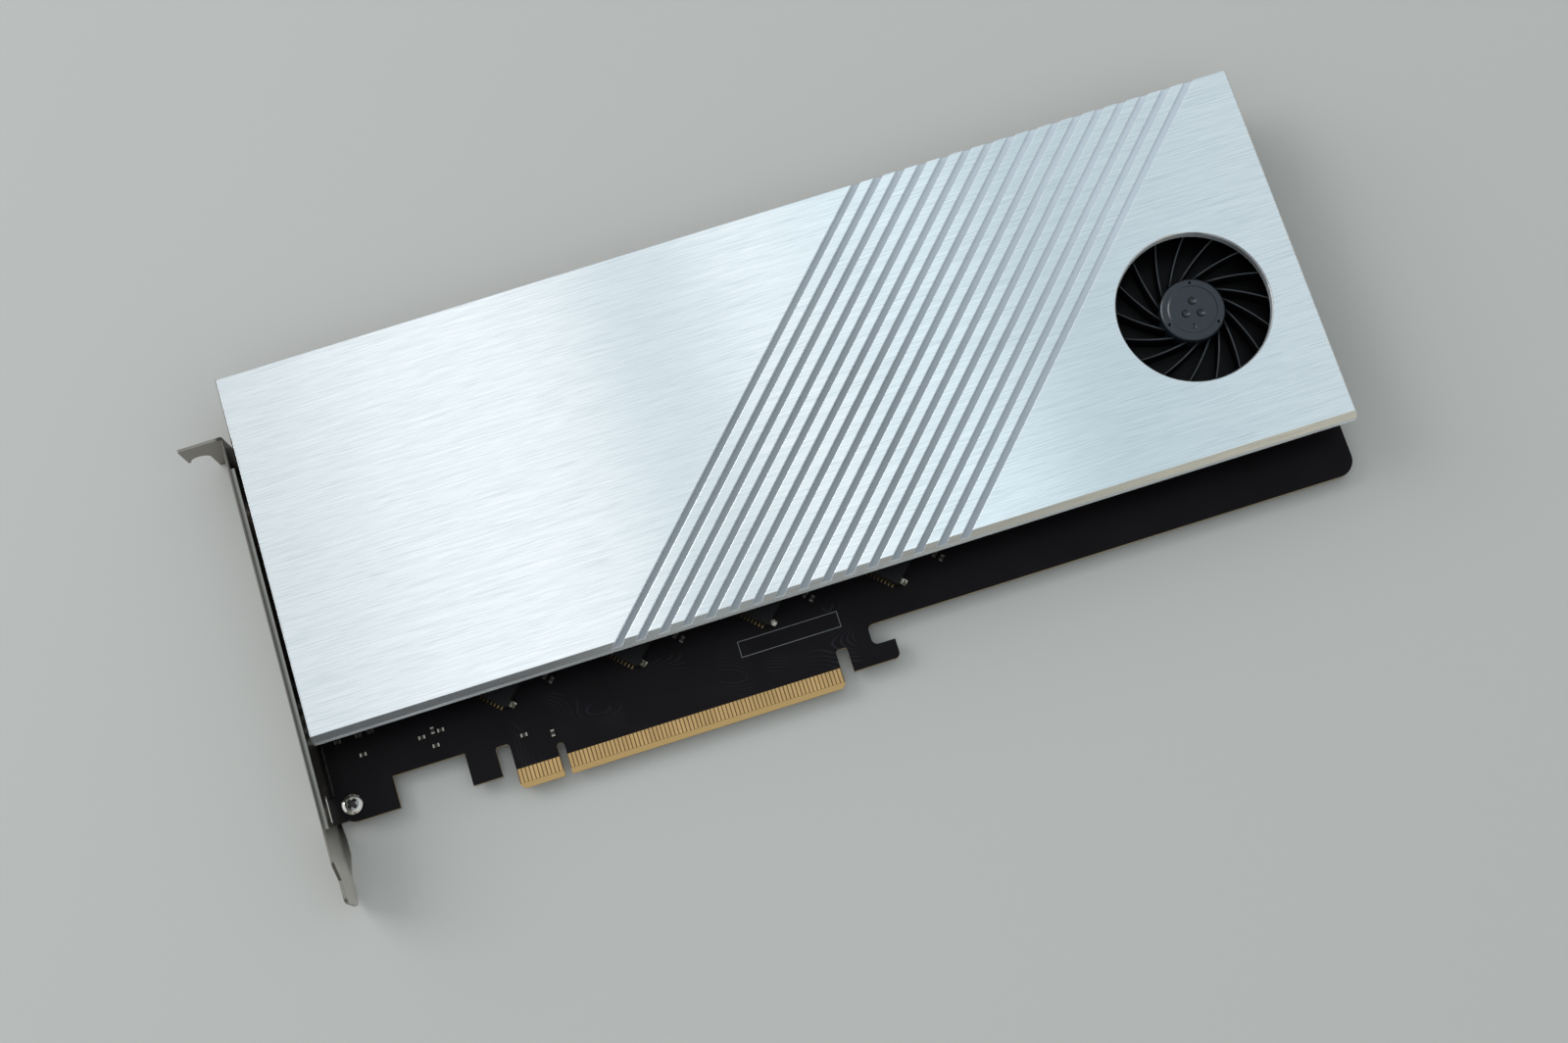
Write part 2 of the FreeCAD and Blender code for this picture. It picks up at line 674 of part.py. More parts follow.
def socket(bay):
    """One M.2 socket: a low block with a mouth towards the drive and a key that splits the mouth."""
    holder = block(f"socket_block_{bay}", "socket_wide", "socket_long", "socket_high")
    mouth = block(f"socket_mouth_{bay}", "mouth_deep + 1", "socket_long - 2 * key_web", "mouth_high")
    put(mouth, "socket_wide - mouth_deep", "key_web", "mouth_floor")
    ledge = block(f"socket_ledge_{bay}", "mouth_deep", "socket_long - 2 * key_web", "mouth_floor + 1")
    put(ledge, "socket_wide - mouth_deep / 4", "key_web", "mouth_high + mouth_floor - 0.01")
    hollow = joined(f"socket_hollow_{bay}", "MultiFuse", mouth, ledge)
    open_block = joined(f"socket_open_{bay}", "Cut", holder, hollow)
    web = block(f"socket_key_{bay}", "mouth_deep * 0.8", "key_web", "mouth_high + 0.02")
    put(web, "socket_wide - mouth_deep", "key_place", "mouth_floor - 0.01")
    whole = joined(f"m2_socket_{bay + 1}", "MultiFuse", open_block, web)
    seat(whole, bay, z="seat_gap")
    node(whole, f"m2_socket_{bay + 1}")


def socket_metal(bay):
    """A socket's row of solder legs along its back, and its two corner anchors."""
    legs = []
    for number in range(int(val("leg_count"))):
        leg = block(f"leg_{bay}_{number}", "leg_out", "leg_wide", "leg_thick")
        legs.append(put(leg, "-leg_out", f"socket_long / 2 + ({number} - (leg_count - 1) / 2) * leg_pitch - leg_wide / 2"))
    for side, across in (("low", "-anchor_wide"), ("high", "socket_long")):
        anchor = block(f"anchor_{bay}_{side}", "anchor_wide", "anchor_wide", "anchor_high")
        legs.append(put(anchor, "anchor_wide / 2", across))
    group = joined(f"socket_metal_{bay + 1}", "Compound", *legs)
    seat(group, bay, z="seat_gap")
    node(group, f"socket_metal_{bay + 1}")


def drive_posts():
    """Threaded brass posts for each length of drive, in every bay."""
    posts = []
    for bay in range(int(val("bay_count"))):
        for step in DRIVE_LENGTHS:
            tube = rod(f"post_{bay}_{step}", "post_radius", "post_high")
            bore = rod(f"post_bore_{bay}_{step}", "post_bore", "post_high + 1")
            post = joined(f"post_whole_{bay}_{step}", "Cut", tube, bore)
            posts.append(seat(post, bay, f"bay_start + {step}", "socket_long / 2", "seat_gap"))
    node(joined("drive_posts", "Compound", *posts), "drive_posts")


def drive_screws():
    """The four small screws that wait in the posts for the drives."""
    screws = []
    for bay in range(int(val("bay_count"))):
        shank = rod(f"drive_shank_{bay}", "post_bore - thread_play", "post_high - 0.4")
        head = put(rod(f"drive_head_{bay}", "post_radius - 0.3", "0.8"), z="post_high - 0.4")
        screw = joined(f"drive_screw_{bay}", "MultiFuse", shank, head)
        screws.append(seat(screw, bay, "bay_start + drive_long", "socket_long / 2", "seat_gap + 0.4"))
    node(joined("drive_screws", "Compound", *screws), "drive_screws")


def thermal_pad(bay):
    """A soft heat-conducting strip under a cooling rail."""
    strip = block(f"thermal_pad_{bay + 1}", "rail_long - 4", "socket_long - 2 * rail_margin - 1", "pad_thick")
    seat(strip, bay, "rail_start + 2", "rail_margin + 0.5", "pad_low")
    node(strip, f"thermal_pad_{bay + 1}")


# ---------------------------------------------------------------- cover


def heatsink_cover():
    """The metal cover: a face with slanting grooves and a round intake, a rim and cooling rails."""
    cover = body("cover")
    top = val("cover_top")
    plate = outline(
        sketch(cover, "cover_outline", Base__z="cover_low"),
        [
            ("cover_left", "cover_front"),
            ("cover_right", "cover_front"),
            ("cover_right", "cover_back"),
            ("cover_left", "cover_back"),
        ],
    )
    slab = pad(cover, "cover_slab", plate, "cover_edge")

    def front_edge(edge, middle):
        """True for the front edge of the face."""
        return abs(middle.z - top) < 0.01 and abs(middle.y - val("cover_front")) < 0.01

    def other_edge(edge, middle):
        """True for the other three edges of the face."""
        return abs(middle.z - top) < 0.01 and middle.y > val("face_front") + 0.01

    def rim_edge(edge, middle):
        """True for the upper edge of the intake."""
        away = math.hypot(middle.x - val("fan_x"), middle.y - val("fan_y"))
        return abs(middle.z - top) < 0.01 and abs(away - val("intake_radius")) < 0.01

    sloped = soften(cover, "front_slope", "Chamfer", slab, front_edge, "front_bevel")
    soften(cover, "fine_bevels", "Chamfer", sloped, other_edge, "edge_break")
    hollow = outline(
        sketch(cover, "hollow_outline", Base__z="cover_low"),
        [
            ("rim_left", "rim_front"),
            ("rim_right", "rim_front"),
            ("rim_right", "rim_back"),
            ("rim_left", "rim_back"),
        ],
    )
    cut(cover, "hollow", hollow, "cover_edge - cover_skin", up=True)
    bay_frame = {"Base__x": "bay_first", "Base__y": "bay_low", "Base__z": "skin_low", "Rotation__Angle": "lean"}
    strip = outline(
        sketch(cover, "rail_outline", **bay_frame),
        [
            ("rail_start", "rail_margin"),
            ("rail_end", "rail_margin"),
            ("rail_end", "rail_side"),
            ("rail_start", "rail_side"),
        ],
    )
    rail = pad(cover, "rail", strip, "skin_low - rail_low", down=True)
    repeat(cover, "rails", rail, "X_Axis", "(bay_count - 1) * bay_pitch", "bay_count")
    mouth = ring(sketch(cover, "intake_circle", Base__z="cover_top"), "fan_x", "fan_y", "intake_radius")
    intake = cut(cover, "intake", mouth, "cover_edge")
    soften(cover, "intake_bevel", "Chamfer", intake, rim_edge, "edge_break")
    line_frame = {"Base__x": "groove_first", "Base__y": "face_front", "Base__z": "cover_top"}
    line = outline(
        sketch(cover, "groove_outline", Rotation__Angle="lean", **line_frame),
        [
            ("groove_start", "groove_right"),
            ("groove_end", "groove_right"),
            ("groove_end", "groove_left"),
            ("groove_start", "groove_left"),
        ],
    )
    groove = cut(cover, "groove", line, "groove_deep")
    repeat(cover, "grooves", groove, "X_Axis", "(groove_count - 1) * groove_pitch", "groove_count")
    node(cover, "heatsink_cover")


def cover_posts():
    """The seven threaded posts between the board and the cover's underside."""
    posts = []
    for spot, *_ in BOSSES:
        column = rod(f"{spot}_column", "boss_radius", "skin_low")
        bore = put(rod(f"{spot}_bore", "screw_thread", "screw_reach + 1.5"), z="-1")
        posts.append(put(joined(f"{spot}_post", "Cut", column, bore), f"{spot}_x", f"{spot}_y"))
    node(joined("cover_post_group", "Compound", *posts), "cover_posts")


def cross_recess(name, across, wide, deep, floor):
    """The cross-shaped recess of a screw head, to be cut from it."""
    long_way = put(block(f"{name}_long", across, wide, deep), f"-({across}) / 2", f"-({wide}) / 2", floor)
    wide_way = put(block(f"{name}_wide", wide, across, deep), f"-({wide}) / 2", f"-({across}) / 2", floor)
    return joined(f"{name}_recess", "MultiFuse", long_way, wide_way)


def screw_from_below(spot, reach):
    """A screw whose head lies under the board and whose shank rises into its thread."""
    shank = put(rod(f"{spot}_shank", "screw_radius", f"board_thick + {reach}"), z="-board_thick")
    head = put(rod(f"{spot}_head", "screw_head", "head_high"), z="-board_thick - head_high")
    whole = joined(f"{spot}_whole", "MultiFuse", shank, head)
    recess = cross_recess(spot, "screw_head", "screw_head / 5", "head_high / 2", "-board_thick - head_high")
    return put(joined(f"{spot}_screw", "Cut", whole, recess), f"{spot}_x", f"{spot}_y")


def cover_screws():
    """The seven screws that hold the cover, put in from the solder side."""
    screws = [screw_from_below(spot, "screw_reach") for spot, *_ in BOSSES]
    node(joined("cover_screw_group", "Compound", *screws), "cover_screws")


# ---------------------------------------------------------------- fan


def quarter(name, radius, high, x, y, start):
    """A quarter of a cylinder that starts at an angle and turns left."""
    piece = rod(name, radius, high)
    piece.Angle = 90
    piece.Placement.Rotation = FreeCAD.Rotation(FreeCAD.Vector(0, 0, 1), start)
    return put(piece, x, y)


def scroll(name, radius, high, mouth, lower):
    """A spiral block round the fan axis: three quarters of growing radius, then a straight run to the mouth.

    Each quarter's middle steps back by the growth, so that the arcs meet smoothly.
    """
    last = f"{radius} + 3 * case_growth"
    run = block(f"{name}_run", f"{mouth} - case_growth", f"{last} - {lower}", high)
    core = block(f"{name}_core", radius, "case_wall + case_growth", high)
    return joined(
        name,
        "MultiFuse",
        quarter(f"{name}_a", radius, high, "0", "0", 180),
        quarter(f"{name}_b", f"{radius} + case_growth", high, "0", "case_growth", 270),
        quarter(f"{name}_c", f"{radius} + 2 * case_growth", high, "-case_growth", "case_growth", 0),
        put(run, f"-({mouth})", lower),
        put(core, f"-({radius})"),
    )


def fan_case():
    """The blower's open-topped case: a floor, a scroll wall with a side mouth, ears and a bearing post."""
    outer = "case_radius + case_wall"
    pieces = [scroll("case_outside", f"({outer})", "case_top - case_floor", f"({outer})", "0")]
    feet = []
    threads = []
    for (spot, *_), turn in zip(EARS, (-45, 45, 225)):
        arm = block(f"{spot}_arm", "ear_reach * sqrt(2)", "2 * ear_radius", "case_plate")
        away = math.radians(turn)
        arm.Placement.Rotation = FreeCAD.Rotation(FreeCAD.Vector(0, 0, 1), turn)
        put(arm, f"ear_radius * ({math.sin(away):.6f})", f"-ear_radius * ({math.cos(away):.6f})")
        pieces.append(arm)
        where = (f"{spot}_x - fan_x", f"{spot}_y - fan_y")
        feet.append(put(rod(f"{spot}_foot", "ear_radius", "case_bed"), *where, "-case_floor"))
        threads.append(put(rod(f"{spot}_bore", "screw_thread", "case_bed + 2"), *where, "-case_floor - 1"))
    inside = scroll("case_inside", "case_radius", "case_top", "(case_radius + 3 * case_wall)", "case_wall")
    shell = joined("case_shell", "Cut", joined("case_block", "MultiFuse", *pieces, *feet), put(inside, z="case_plate"))
    post = rod("case_post", "post_out", "bearing_top - case_floor - 0.2")
    whole = joined("case_whole", "MultiFuse", shell, post)
    bed = put(rod("bearing_bed", "bearing_radius", "bearing_top"), z="case_plate")
    case = joined("case_drilled", "Cut", whole, joined("case_holes", "MultiFuse", bed, *threads))
    node(put(case, "fan_x", "fan_y", "case_floor"), "fan_case")


def fan_screws():
    """The three screws that hold the fan case, put in from the solder side."""
    screws = [screw_from_below(spot, "case_bed - 0.1") for spot, *_ in EARS]
    node(joined("fan_screw_group", "Compound", *screws), "fan_screws")


def fan_impeller():
    """The turning part of the blower: a hub like a cup, a thin disc and swept blades."""
    wheel = body("impeller")
    section = outline(
        sketch(wheel, "wheel_section", "XZ_Plane", Base__x="fan_x", Base__z="-fan_y"),
        [
            ("shaft_radius", "hub_boss_low"),
            ("hub_boss", "hub_boss_low"),
            ("hub_boss", "hub_roof"),
            ("hub_hollow", "hub_roof"),
            ("hub_hollow", "rotor_low"),
            ("rotor_radius", "rotor_low"),
            ("rotor_radius", "disc_top"),
            ("hub_radius", "disc_top"),
            ("hub_radius", "hub_shoulder"),
            ("hub_neck", "hub_top"),
            ("hub_dish_radius", "hub_top"),
            ("hub_dish_radius", "dish_floor"),
            ("shaft_radius", "dish_floor"),
        ],
    )
    turned = wheel.newObject("PartDesign::Revolution", "wheel")
    turned.Profile = section
    turned.ReferenceAxis = (section, ["V_Axis"])
    turned.Angle = 360
    blade = sketch(wheel, "blade_outline", Base__x="fan_x", Base__y="fan_y", Base__z="disc_under")
    for side in blade_sides():
        index = blade.addGeometry(side, False)
        blade.addConstraint(Sketcher.Constraint("Block", index))
    one = pad(wheel, "blade", blade, "blade_top - disc_under")
    ringed = wheel.newObject("PartDesign::PolarPattern", "blades")
    ringed.Originals = [one]
    ringed.Axis = (section, ["V_Axis"])
    ringed.Angle = 360
    bind(ringed, Occurrences="blade_count")
    wheel.Tip = ringed
    node(wheel, "fan_impeller")


def blade_sides():
    """The four sides of one blade: two bowed arcs from the hub to the tip, and their short ends."""
    inner = val("hub_radius") - val("hub_wall") / 2
    outer = val("rotor_radius") - 0.3
    sweep = math.radians(val("blade_sweep"))
    root = FreeCAD.Vector(inner, 0, 0)
    tip = FreeCAD.Vector(outer * math.cos(sweep), -outer * math.sin(sweep), 0)
    aside = FreeCAD.Vector(0, 0, 1).cross(tip - root).normalize()
    middle = (root + tip) * 0.5 + aside * val("blade_bow")
    half = aside * (val("blade_thick") / 2)
    return [
        Part.Arc(root + half, middle + half, tip + half),
        Part.LineSegment(tip + half, tip - half),
        Part.Arc(tip - half, middle - half, root - half),
        Part.LineSegment(root - half, root + half),
    ]


def fan_motor():
    """The blower's shaft, bearing, stator, magnet ring and small motor board."""
    shaft = rod("shaft_rod", "shaft_radius", "dish_floor - case_bed - 0.3")
    node(put(shaft, "fan_x", "fan_y", "case_bed + 0.3"), "fan_shaft")
    sleeve = rod("bearing_tube", "bearing_radius", "bearing_top - case_bed")
    bore = rod("bearing_bore", "shaft_radius + shaft_play", "bearing_top")
    node(put(joined("bearing_cut", "Cut", sleeve, bore), "fan_x", "fan_y", "case_bed"), "fan_bearing")
    gaps = [rod("stator_hole", "post_out", "coil_high")]
    for number in range(4):
        gap = block(f"stator_slot_{number}", "coil_radius", "1.2", "coil_high")
        away = math.radians(90 * number + 45)
        gap.Placement.Rotation = FreeCAD.Rotation(FreeCAD.Vector(0, 0, 1), 90 * number + 45)
        put(
            gap,
            f"(post_out + 0.8) * ({math.cos(away):.6f}) + 0.6 * ({math.sin(away):.6f})",
            f"(post_out + 0.8) * ({math.sin(away):.6f}) - 0.6 * ({math.cos(away):.6f})",
        )
        gaps.append(gap)
    core = rod("stator_core", "coil_radius", "coil_high")
    stator = joined("stator_cut", "Cut", core, joined("stator_gaps", "MultiFuse", *gaps))
    node(put(stator, "fan_x", "fan_y", "coil_low"), "fan_stator")
    outer = rod("magnet_outer", "hub_hollow", "coil_high + 1.6")
    inner = rod("magnet_inner", "hub_hollow - magnet_wall", "coil_high + 1.6")
    node(put(joined("magnet_cut", "Cut", outer, inner), "fan_x", "fan_y", "coil_low - 0.8"), "fan_magnet_ring")
    disc = rod("motor_disc", "hub_hollow - 0.6", "0.8")
    hole = rod("motor_disc_hole", "post_out", "0.8")
    node(put(joined("motor_board_cut", "Cut", disc, hole), "fan_x", "fan_y", "case_bed"), "fan_motor_board")


def fan_header():
    """The small open-topped plug seat on the board for the fan's lead, with its pins."""
    shell = block("header_block", "header_long", "header_wide", "header_high")
    room = put(block("header_room", "header_long - 1", "header_wide - 1", "header_high"), "0.5", "0.5", "0.8")
    seat_cut = joined("header_cut", "Cut", shell, room)
    node(put(seat_cut, "header_x", "header_y", "seat_gap"), "fan_header")
    pins = []
    for number in range(4):
        pin = block(f"header_pin_{number}", "0.5", "0.5", "header_high - 0.8 - 0.6")
        pins.append(put(pin, f"header_long * ({number} + 0.5) / 4 - 0.25", "header_wide / 2 - 0.25", "0.8"))
    group = joined("header_pin_group", "Compound", *pins)
    node(put(group, "header_x", "header_y", "seat_gap"), "fan_header_pins")


# ---------------------------------------------------------------- bracket


def obround(drawing, x, low, high, radius):
    """A slot with round ends: its end circles stand on one line along the drawing's second axis."""
    r, middle = val(radius), val(x)
    ends = [FreeCAD.Vector(middle, val(word), 0) for word in (high, low)]
    arcs = [
        drawing.addGeometry(
            Part.ArcOfCircle(Part.Circle(spot, FreeCAD.Vector(0, 0, 1), r), start, start + math.pi), False
        )
        for spot, start in zip(ends, (0, math.pi))
    ]
    lines = []
    for side in (-r, r):
        here, there = (spot + FreeCAD.Vector(side, 0, 0) for spot in ends)
        lines.append(drawing.addGeometry(Part.LineSegment(here, there), False))
    for joint in (
        (arcs[0], 2, lines[0], 1),
        (lines[0], 2, arcs[1], 1),
        (arcs[1], 2, lines[1], 2),
        (lines[1], 1, arcs[0], 1),
    ):
        drawing.addConstraint(Sketcher.Constraint("Tangent", *joint))
    drawing.addConstraint(Sketcher.Constraint("Equal", *arcs))
    pin_point(drawing, arcs[0], 3, x, high)
    pin_point(drawing, arcs[1], 3, x, low)
    held = drawing.addConstraint(Sketcher.Constraint("Radius", arcs[0], r))
    drawing.renameConstraint(held, "end_radius")
    drawing.setExpression(".Constraints.end_radius", full(radius))
    return drawing


def on_face(sheet, name):
    """A drawing on the bracket's outer face: along the bracket, and up from the board."""
    return sketch(sheet, name, "YZ_Plane", Base__z="bracket_face")


def bracket():
    """The slot bracket: one folded sheet with a tab, a folded edge, a tongue, two lugs and vent slots."""
    sheet = body("slot_bracket")
    face = outline(
        on_face(sheet, "bracket_outline"),
        [
            ("tongue_tip", "tongue_low"),
            ("taper_low", "bracket_low"),
            ("tab_height", "bracket_low"),
            ("tab_height", "bracket_high"),
            ("taper_top", "bracket_high"),
            ("taper_low", "tongue_high"),
            ("tongue_tip", "tongue_high"),
        ],
    )
    plate = pad(sheet, "bracket_plate", face, "sheet_thick")

    def tongue_corner(edge, middle):
        """True for the two corners at the tip of the tongue."""
        return edge.BoundBox.XLength > 0.1 and abs(middle.y - val("tongue_tip")) < 0.01

    soften(sheet, "tongue_corners", "Fillet", plate, tongue_corner, "3 * fold_radius")
    rim = outline(
        on_face(sheet, "flange_outline"),
        [
            ("flange_low", "flange_base"),
            ("flange_high", "flange_base"),
            ("flange_high", "bracket_high"),
            ("flange_low", "bracket_high"),
        ],
    )
    pad(sheet, "flange", rim, "flange_deep")
    foot = outline(
        sketch(sheet, "rear_flange_outline", Base__z="bracket_low"),
        [
            ("bracket_face", "rear_foot_tip"),
            ("bracket_inside", "rear_foot_tip"),
            ("rear_foot", "rear_foot_low"),
            ("rear_foot", "rear_foot_top"),
            ("rear_edge", "rear_foot_start"),
            ("rear_edge", "flange_high"),
            ("bracket_face", "flange_high"),
        ],
    )
    pad(sheet, "rear_flange", foot, "sheet_thick")
    shelf = outline(
        sketch(sheet, "tab_outline", "XZ_Plane", Base__z="-tab_height"),
        [
            ("bracket_inside", "bracket_low"),
            ("bracket_inside", "bracket_high"),
            ("tab_end", "bracket_high"),
            ("tab_end", "notch_z"),
            ("notch_right", "notch_z"),
            ("notch_right", "bracket_low"),
        ],
    )
    tab = pad(sheet, "tab", shelf, "sheet_thick")

    def fold_edge(edge, middle):
        """True for the outer edges of the folds at the tab and at the folded edges."""
        at_tab = abs(middle.y - val("tab_height")) < 0.01 and abs(middle.x - val("bracket_inside")) < 0.01
        outer = min(abs(middle.z - val("bracket_high")), abs(middle.z - val("bracket_low"))) < 0.01
        at_face = outer and abs(middle.x - val("bracket_face")) < 0.01
        return (at_tab and edge.BoundBox.ZLength > 1) or (at_face and edge.BoundBox.YLength > 1)

    soften(sheet, "folds", "Fillet", tab, fold_edge, "fold_radius")
    notch = ring(sketch(sheet, "notch_circle", "XZ_Plane", Base__z="-tab_height"), "notch_x", "notch_z", "notch_radius")
    cut(sheet, "notch", notch, "2 * sheet_thick", up=True)
    lug = outline(
        sketch(sheet, "lug_outline", Base__z="lug_back"),
        [
            ("bracket_face", "lug_bottom"),
            ("lug_end", "lug_bottom"),
            ("lug_end", "lug_above"),
            ("bracket_face", "lug_above"),
        ],
    )
    one = pad(sheet, "lug", lug, "sheet_thick")
    repeat(sheet, "lugs", one, "Y_Axis", "lug_apart", "2")
    window = outline(
        on_face(sheet, "window_outline"),
        [
            ("lug_bottom", "board_back"),
            ("lug_above", "board_back"),
            ("lug_above", "window_top"),
            ("lug_bottom", "window_top"),
        ],
    )
    opening = cut(sheet, "window", window, "sheet_thick", up=True)
    repeat(sheet, "windows", opening, "Y_Axis", "lug_apart", "2")
    thread = ring(sketch(sheet, "lug_thread_circle", Base__z="board_back"), "lug_x", "lug_first", "fix_thread")
    tapped = cut(sheet, "lug_thread", thread, "2 * sheet_thick")
    repeat(sheet, "lug_threads", tapped, "Y_Axis", "lug_apart", "2")
    slot = obround(on_face(sheet, "vent_outline"), "vent_first", "vent_foot", "vent_head", "vent_radius")
    vent = cut(sheet, "vent", slot, "sheet_thick", up=True)
    repeat(sheet, "vents", vent, "Y_Axis", "(vent_count - 1) * vent_pitch", "vent_count")
    lamp = ring(on_face(sheet, "lamp_circle"), "lamp_first", "lamp_height", "lamp_bore")
    port = cut(sheet, "lamp_port", lamp, "sheet_thick", up=True)
    repeat(sheet, "lamp_ports", port, "Y_Axis", "(bay_count - 1) * lamp_pitch", "bay_count")
    gate = outline(
        on_face(sheet, "gate_outline"),
        [
            ("gate_left", "gate_low"),
            ("gate_right", "gate_low"),
            ("gate_right", "gate_high"),
            ("gate_left", "gate_high"),
        ],
    )
    cut(sheet, "gate", gate, "sheet_thick", up=True)
    node(sheet, "bracket")


def bracket_screws():
    """The two cross-head screws that hold the board to the bracket's lugs."""
    screws = []
    for number in range(2):
        shank = rod(f"fix_shank_{number}", "fix_radius", "board_thick + sheet_thick + 0.4")
        put(shank, z="-board_thick - sheet_thick - 0.4")
        head = rod(f"fix_head_{number}", "fix_head", "fix_head_high")
        whole = joined(f"fix_whole_{number}", "MultiFuse", shank, head)
        doc.recompute()
        crown = doc.addObject("Part::Fillet", f"fix_crown_{number}")
        crown.Base = whole
        top, round_off = val("fix_head_high"), val("fix_head_high") * 0.6
        rims = [n for n, e in enumerate(whole.Shape.Edges, start=1) if abs(middle_of(e).z - top) < 0.01]
        crown.Edges = [(n, round_off, round_off) for n in rims]
        recess = cross_recess(f"fix_{number}", "fix_head * 1.1", "fix_head / 4", "fix_head_high", "fix_head_high * 0.45")
        driven = joined(f"fix_screw_{number}", "Cut", crown, recess)
        screws.append(put(driven, "lug_x", f"lug_first + {number} * lug_apart"))
    node(joined("bracket_screw_group", "Compound", *screws), "bracket_screws")


def fan_switch():
    """A two-position slide switch whose nub passes through the bracket."""
    case = block("switch_case", "switch_wide", "switch_long", "switch_high")
    channel = put(
        block("switch_channel", "nub_reach + nub_play + 1", "gate_right - gate_left", "gate_high - gate_low"),
        "-1",
        "(switch_long - gate_right + gate_left) / 2",
        "gate_low - seat_gap",
    )
    hollow = joined("switch_hollow", "Cut", case, channel)
    node(put(hollow, "switch_left", "switch_place - switch_long / 2", "seat_gap"), "fan_switch_body")
    nub = block("switch_nub", "switch_left + nub_reach - bracket_face + nub_out", "nub_wide", "nub_high")
    put(nub, "bracket_face - nub_out", "gate_left + nub_play", "gate_low + nub_play")
    node(nub, "fan_switch_slider")


def status_lamps():
    """Four side-looking lamps, one for each bay, whose noses stand in the bracket's holes."""
    lamps = []
    for number in range(int(val("bay_count"))):
        base = put(block(f"lamp_base_{number}", "2.2", "2", "lamp_height + lamp_radius + 0.2"), "0", "-1")
        nose = rod(f"lamp_nose_{number}", "lamp_radius", "lamp_back - bracket_inside + sheet_thick * 0.7")
        nose.Placement.Rotation = FreeCAD.Rotation(FreeCAD.Vector(0, 1, 0), -90)
        put(nose, z="lamp_height - seat_gap")
        lamp = joined(f"lamp_{number}", "MultiFuse", base, nose)
        lamps.append(put(lamp, "lamp_back", f"lamp_first + {number} * lamp_pitch", "seat_gap"))
    node(joined("lamp_group", "Compound", *lamps), "status_lamps")


# ---------------------------------------------------------------- other parts on the board


def on_board(name, shapes, spots):
    """Copies of a small part, each made by a function from its name, stood on the board in a group."""
    pieces = []
    for number, (x, y, *turn) in enumerate(spots):
        pieces.append(put(shapes(f"{name}_{number}"), x, y, "seat_gap", *turn))
    node(joined(f"{name}_group", "Compound", *pieces), name)


def centred_block(name, long, wide, high, z="0"):
    """A block whose middle stands on its own origin."""
    inner = put(block(f"{name}_block", long, wide, high), f"-({long}) / 2", f"-({wide}) / 2", z)
    return joined(name, "Compound", inner)


def power_parts():
    """The inductors, capacitors and regulators between the bracket and the first bay."""
    row = [(f"power_x + {n} * power_pitch", "power_y") for n in range(int(val("bay_count")))]
    on_board("power_inductors", lambda name: centred_block(name, "coil_side", "coil_side", "inductor_high"), row)
    lower = [(x, f"{y} - power_pitch") for x, y in row[:3]]
    on_board("power_capacitors", lambda name: rod(name, "can_radius", "can_high"), lower)
    lowest = [(x, f"{y} - 2 * power_pitch") for x, y in row[:3]]
    on_board("voltage_regulators", lambda name: centred_block(name, "chip_side", "chip_side", "chip_high"), lowest)


def chips():
    """The chips that copy the clock to the bays and drive the fan."""
    spots = [("power_x + 3", "power_y - 3.4 * power_pitch"), ("header_x + 16", "header_y + header_wide")]
    on_board("clock_chips", lambda name: centred_block(name, "chip_side", "chip_side", "chip_high"), spots)


def small_parts():
    """The small ceramic parts along the lower edge, and their bright end caps."""
    spots = [
        ("board_left + 4.2", "cover_front + 1.1", "0"),
        ("board_left + 9.6", "cover_front + 1.2", "0"),
        ("board_left + 12.8", "cover_front + 1.2", "0"),
        ("board_left + 9.6", "bay_low - 0.1", "0"),
        ("board_left + 27.6", "bay_low - 3.4", "0"),
        ("board_left + 24.7", "bay_low - 0.4", "0"),
        ("board_left + 27.7", "bay_low + 0.5", "90"),
        ("tooth_left - 4.1", "bay_low", "0"),
        ("short_left + 4.2", "slot_top + 0.8", "0"),
        ("key_left", "slot_top - 0.9", "90"),
    ]
    for bay in range(int(val("bay_count"))):
        spots += [
            (f"bay_first + {bay} * bay_pitch + 12.5", "bay_low + 3.7", "lean"),
            (f"bay_first + {bay} * bay_pitch + 11.2", "bay_low + 5.2", "lean"),
        ]

    def ceramic(name):
        """The body between the caps."""
        return centred_block(name, "small_long - 2 * cap_long", "small_wide", "small_high")

    def caps(name):
        """The two end caps."""
        ends = [
            put(block(f"{name}_{end}", "cap_long", "small_wide", "small_high"), x, "-small_wide / 2")
            for end, x in (("low", "-small_long / 2"), ("high", "small_long / 2 - cap_long"))
        ]
        return joined(name, "Compound", *ends)

    on_board("small_parts", ceramic, spots)
    on_board("small_part_caps", caps, spots)


# ---------------------------------------------------------------- whole card


def build():
    """Makes every piece of the card."""
    circuit_board()
    contacts("contacts_front", on_back=False)
    contacts("contacts_back", on_back=True)
    for bay in range(int(val("bay_count"))):
        socket(bay)
        socket_metal(bay)
        thermal_pad(bay)
    drive_posts()
    drive_screws()
    heatsink_cover()
    cover_posts()
    cover_screws()
    fan_case()
    fan_screws()
    fan_impeller()
    fan_motor()
    fan_header()
    bracket()
    bracket_screws()
    fan_switch()
    status_lamps()
    power_parts()
    chips()
    small_parts()
    doc.recompute()


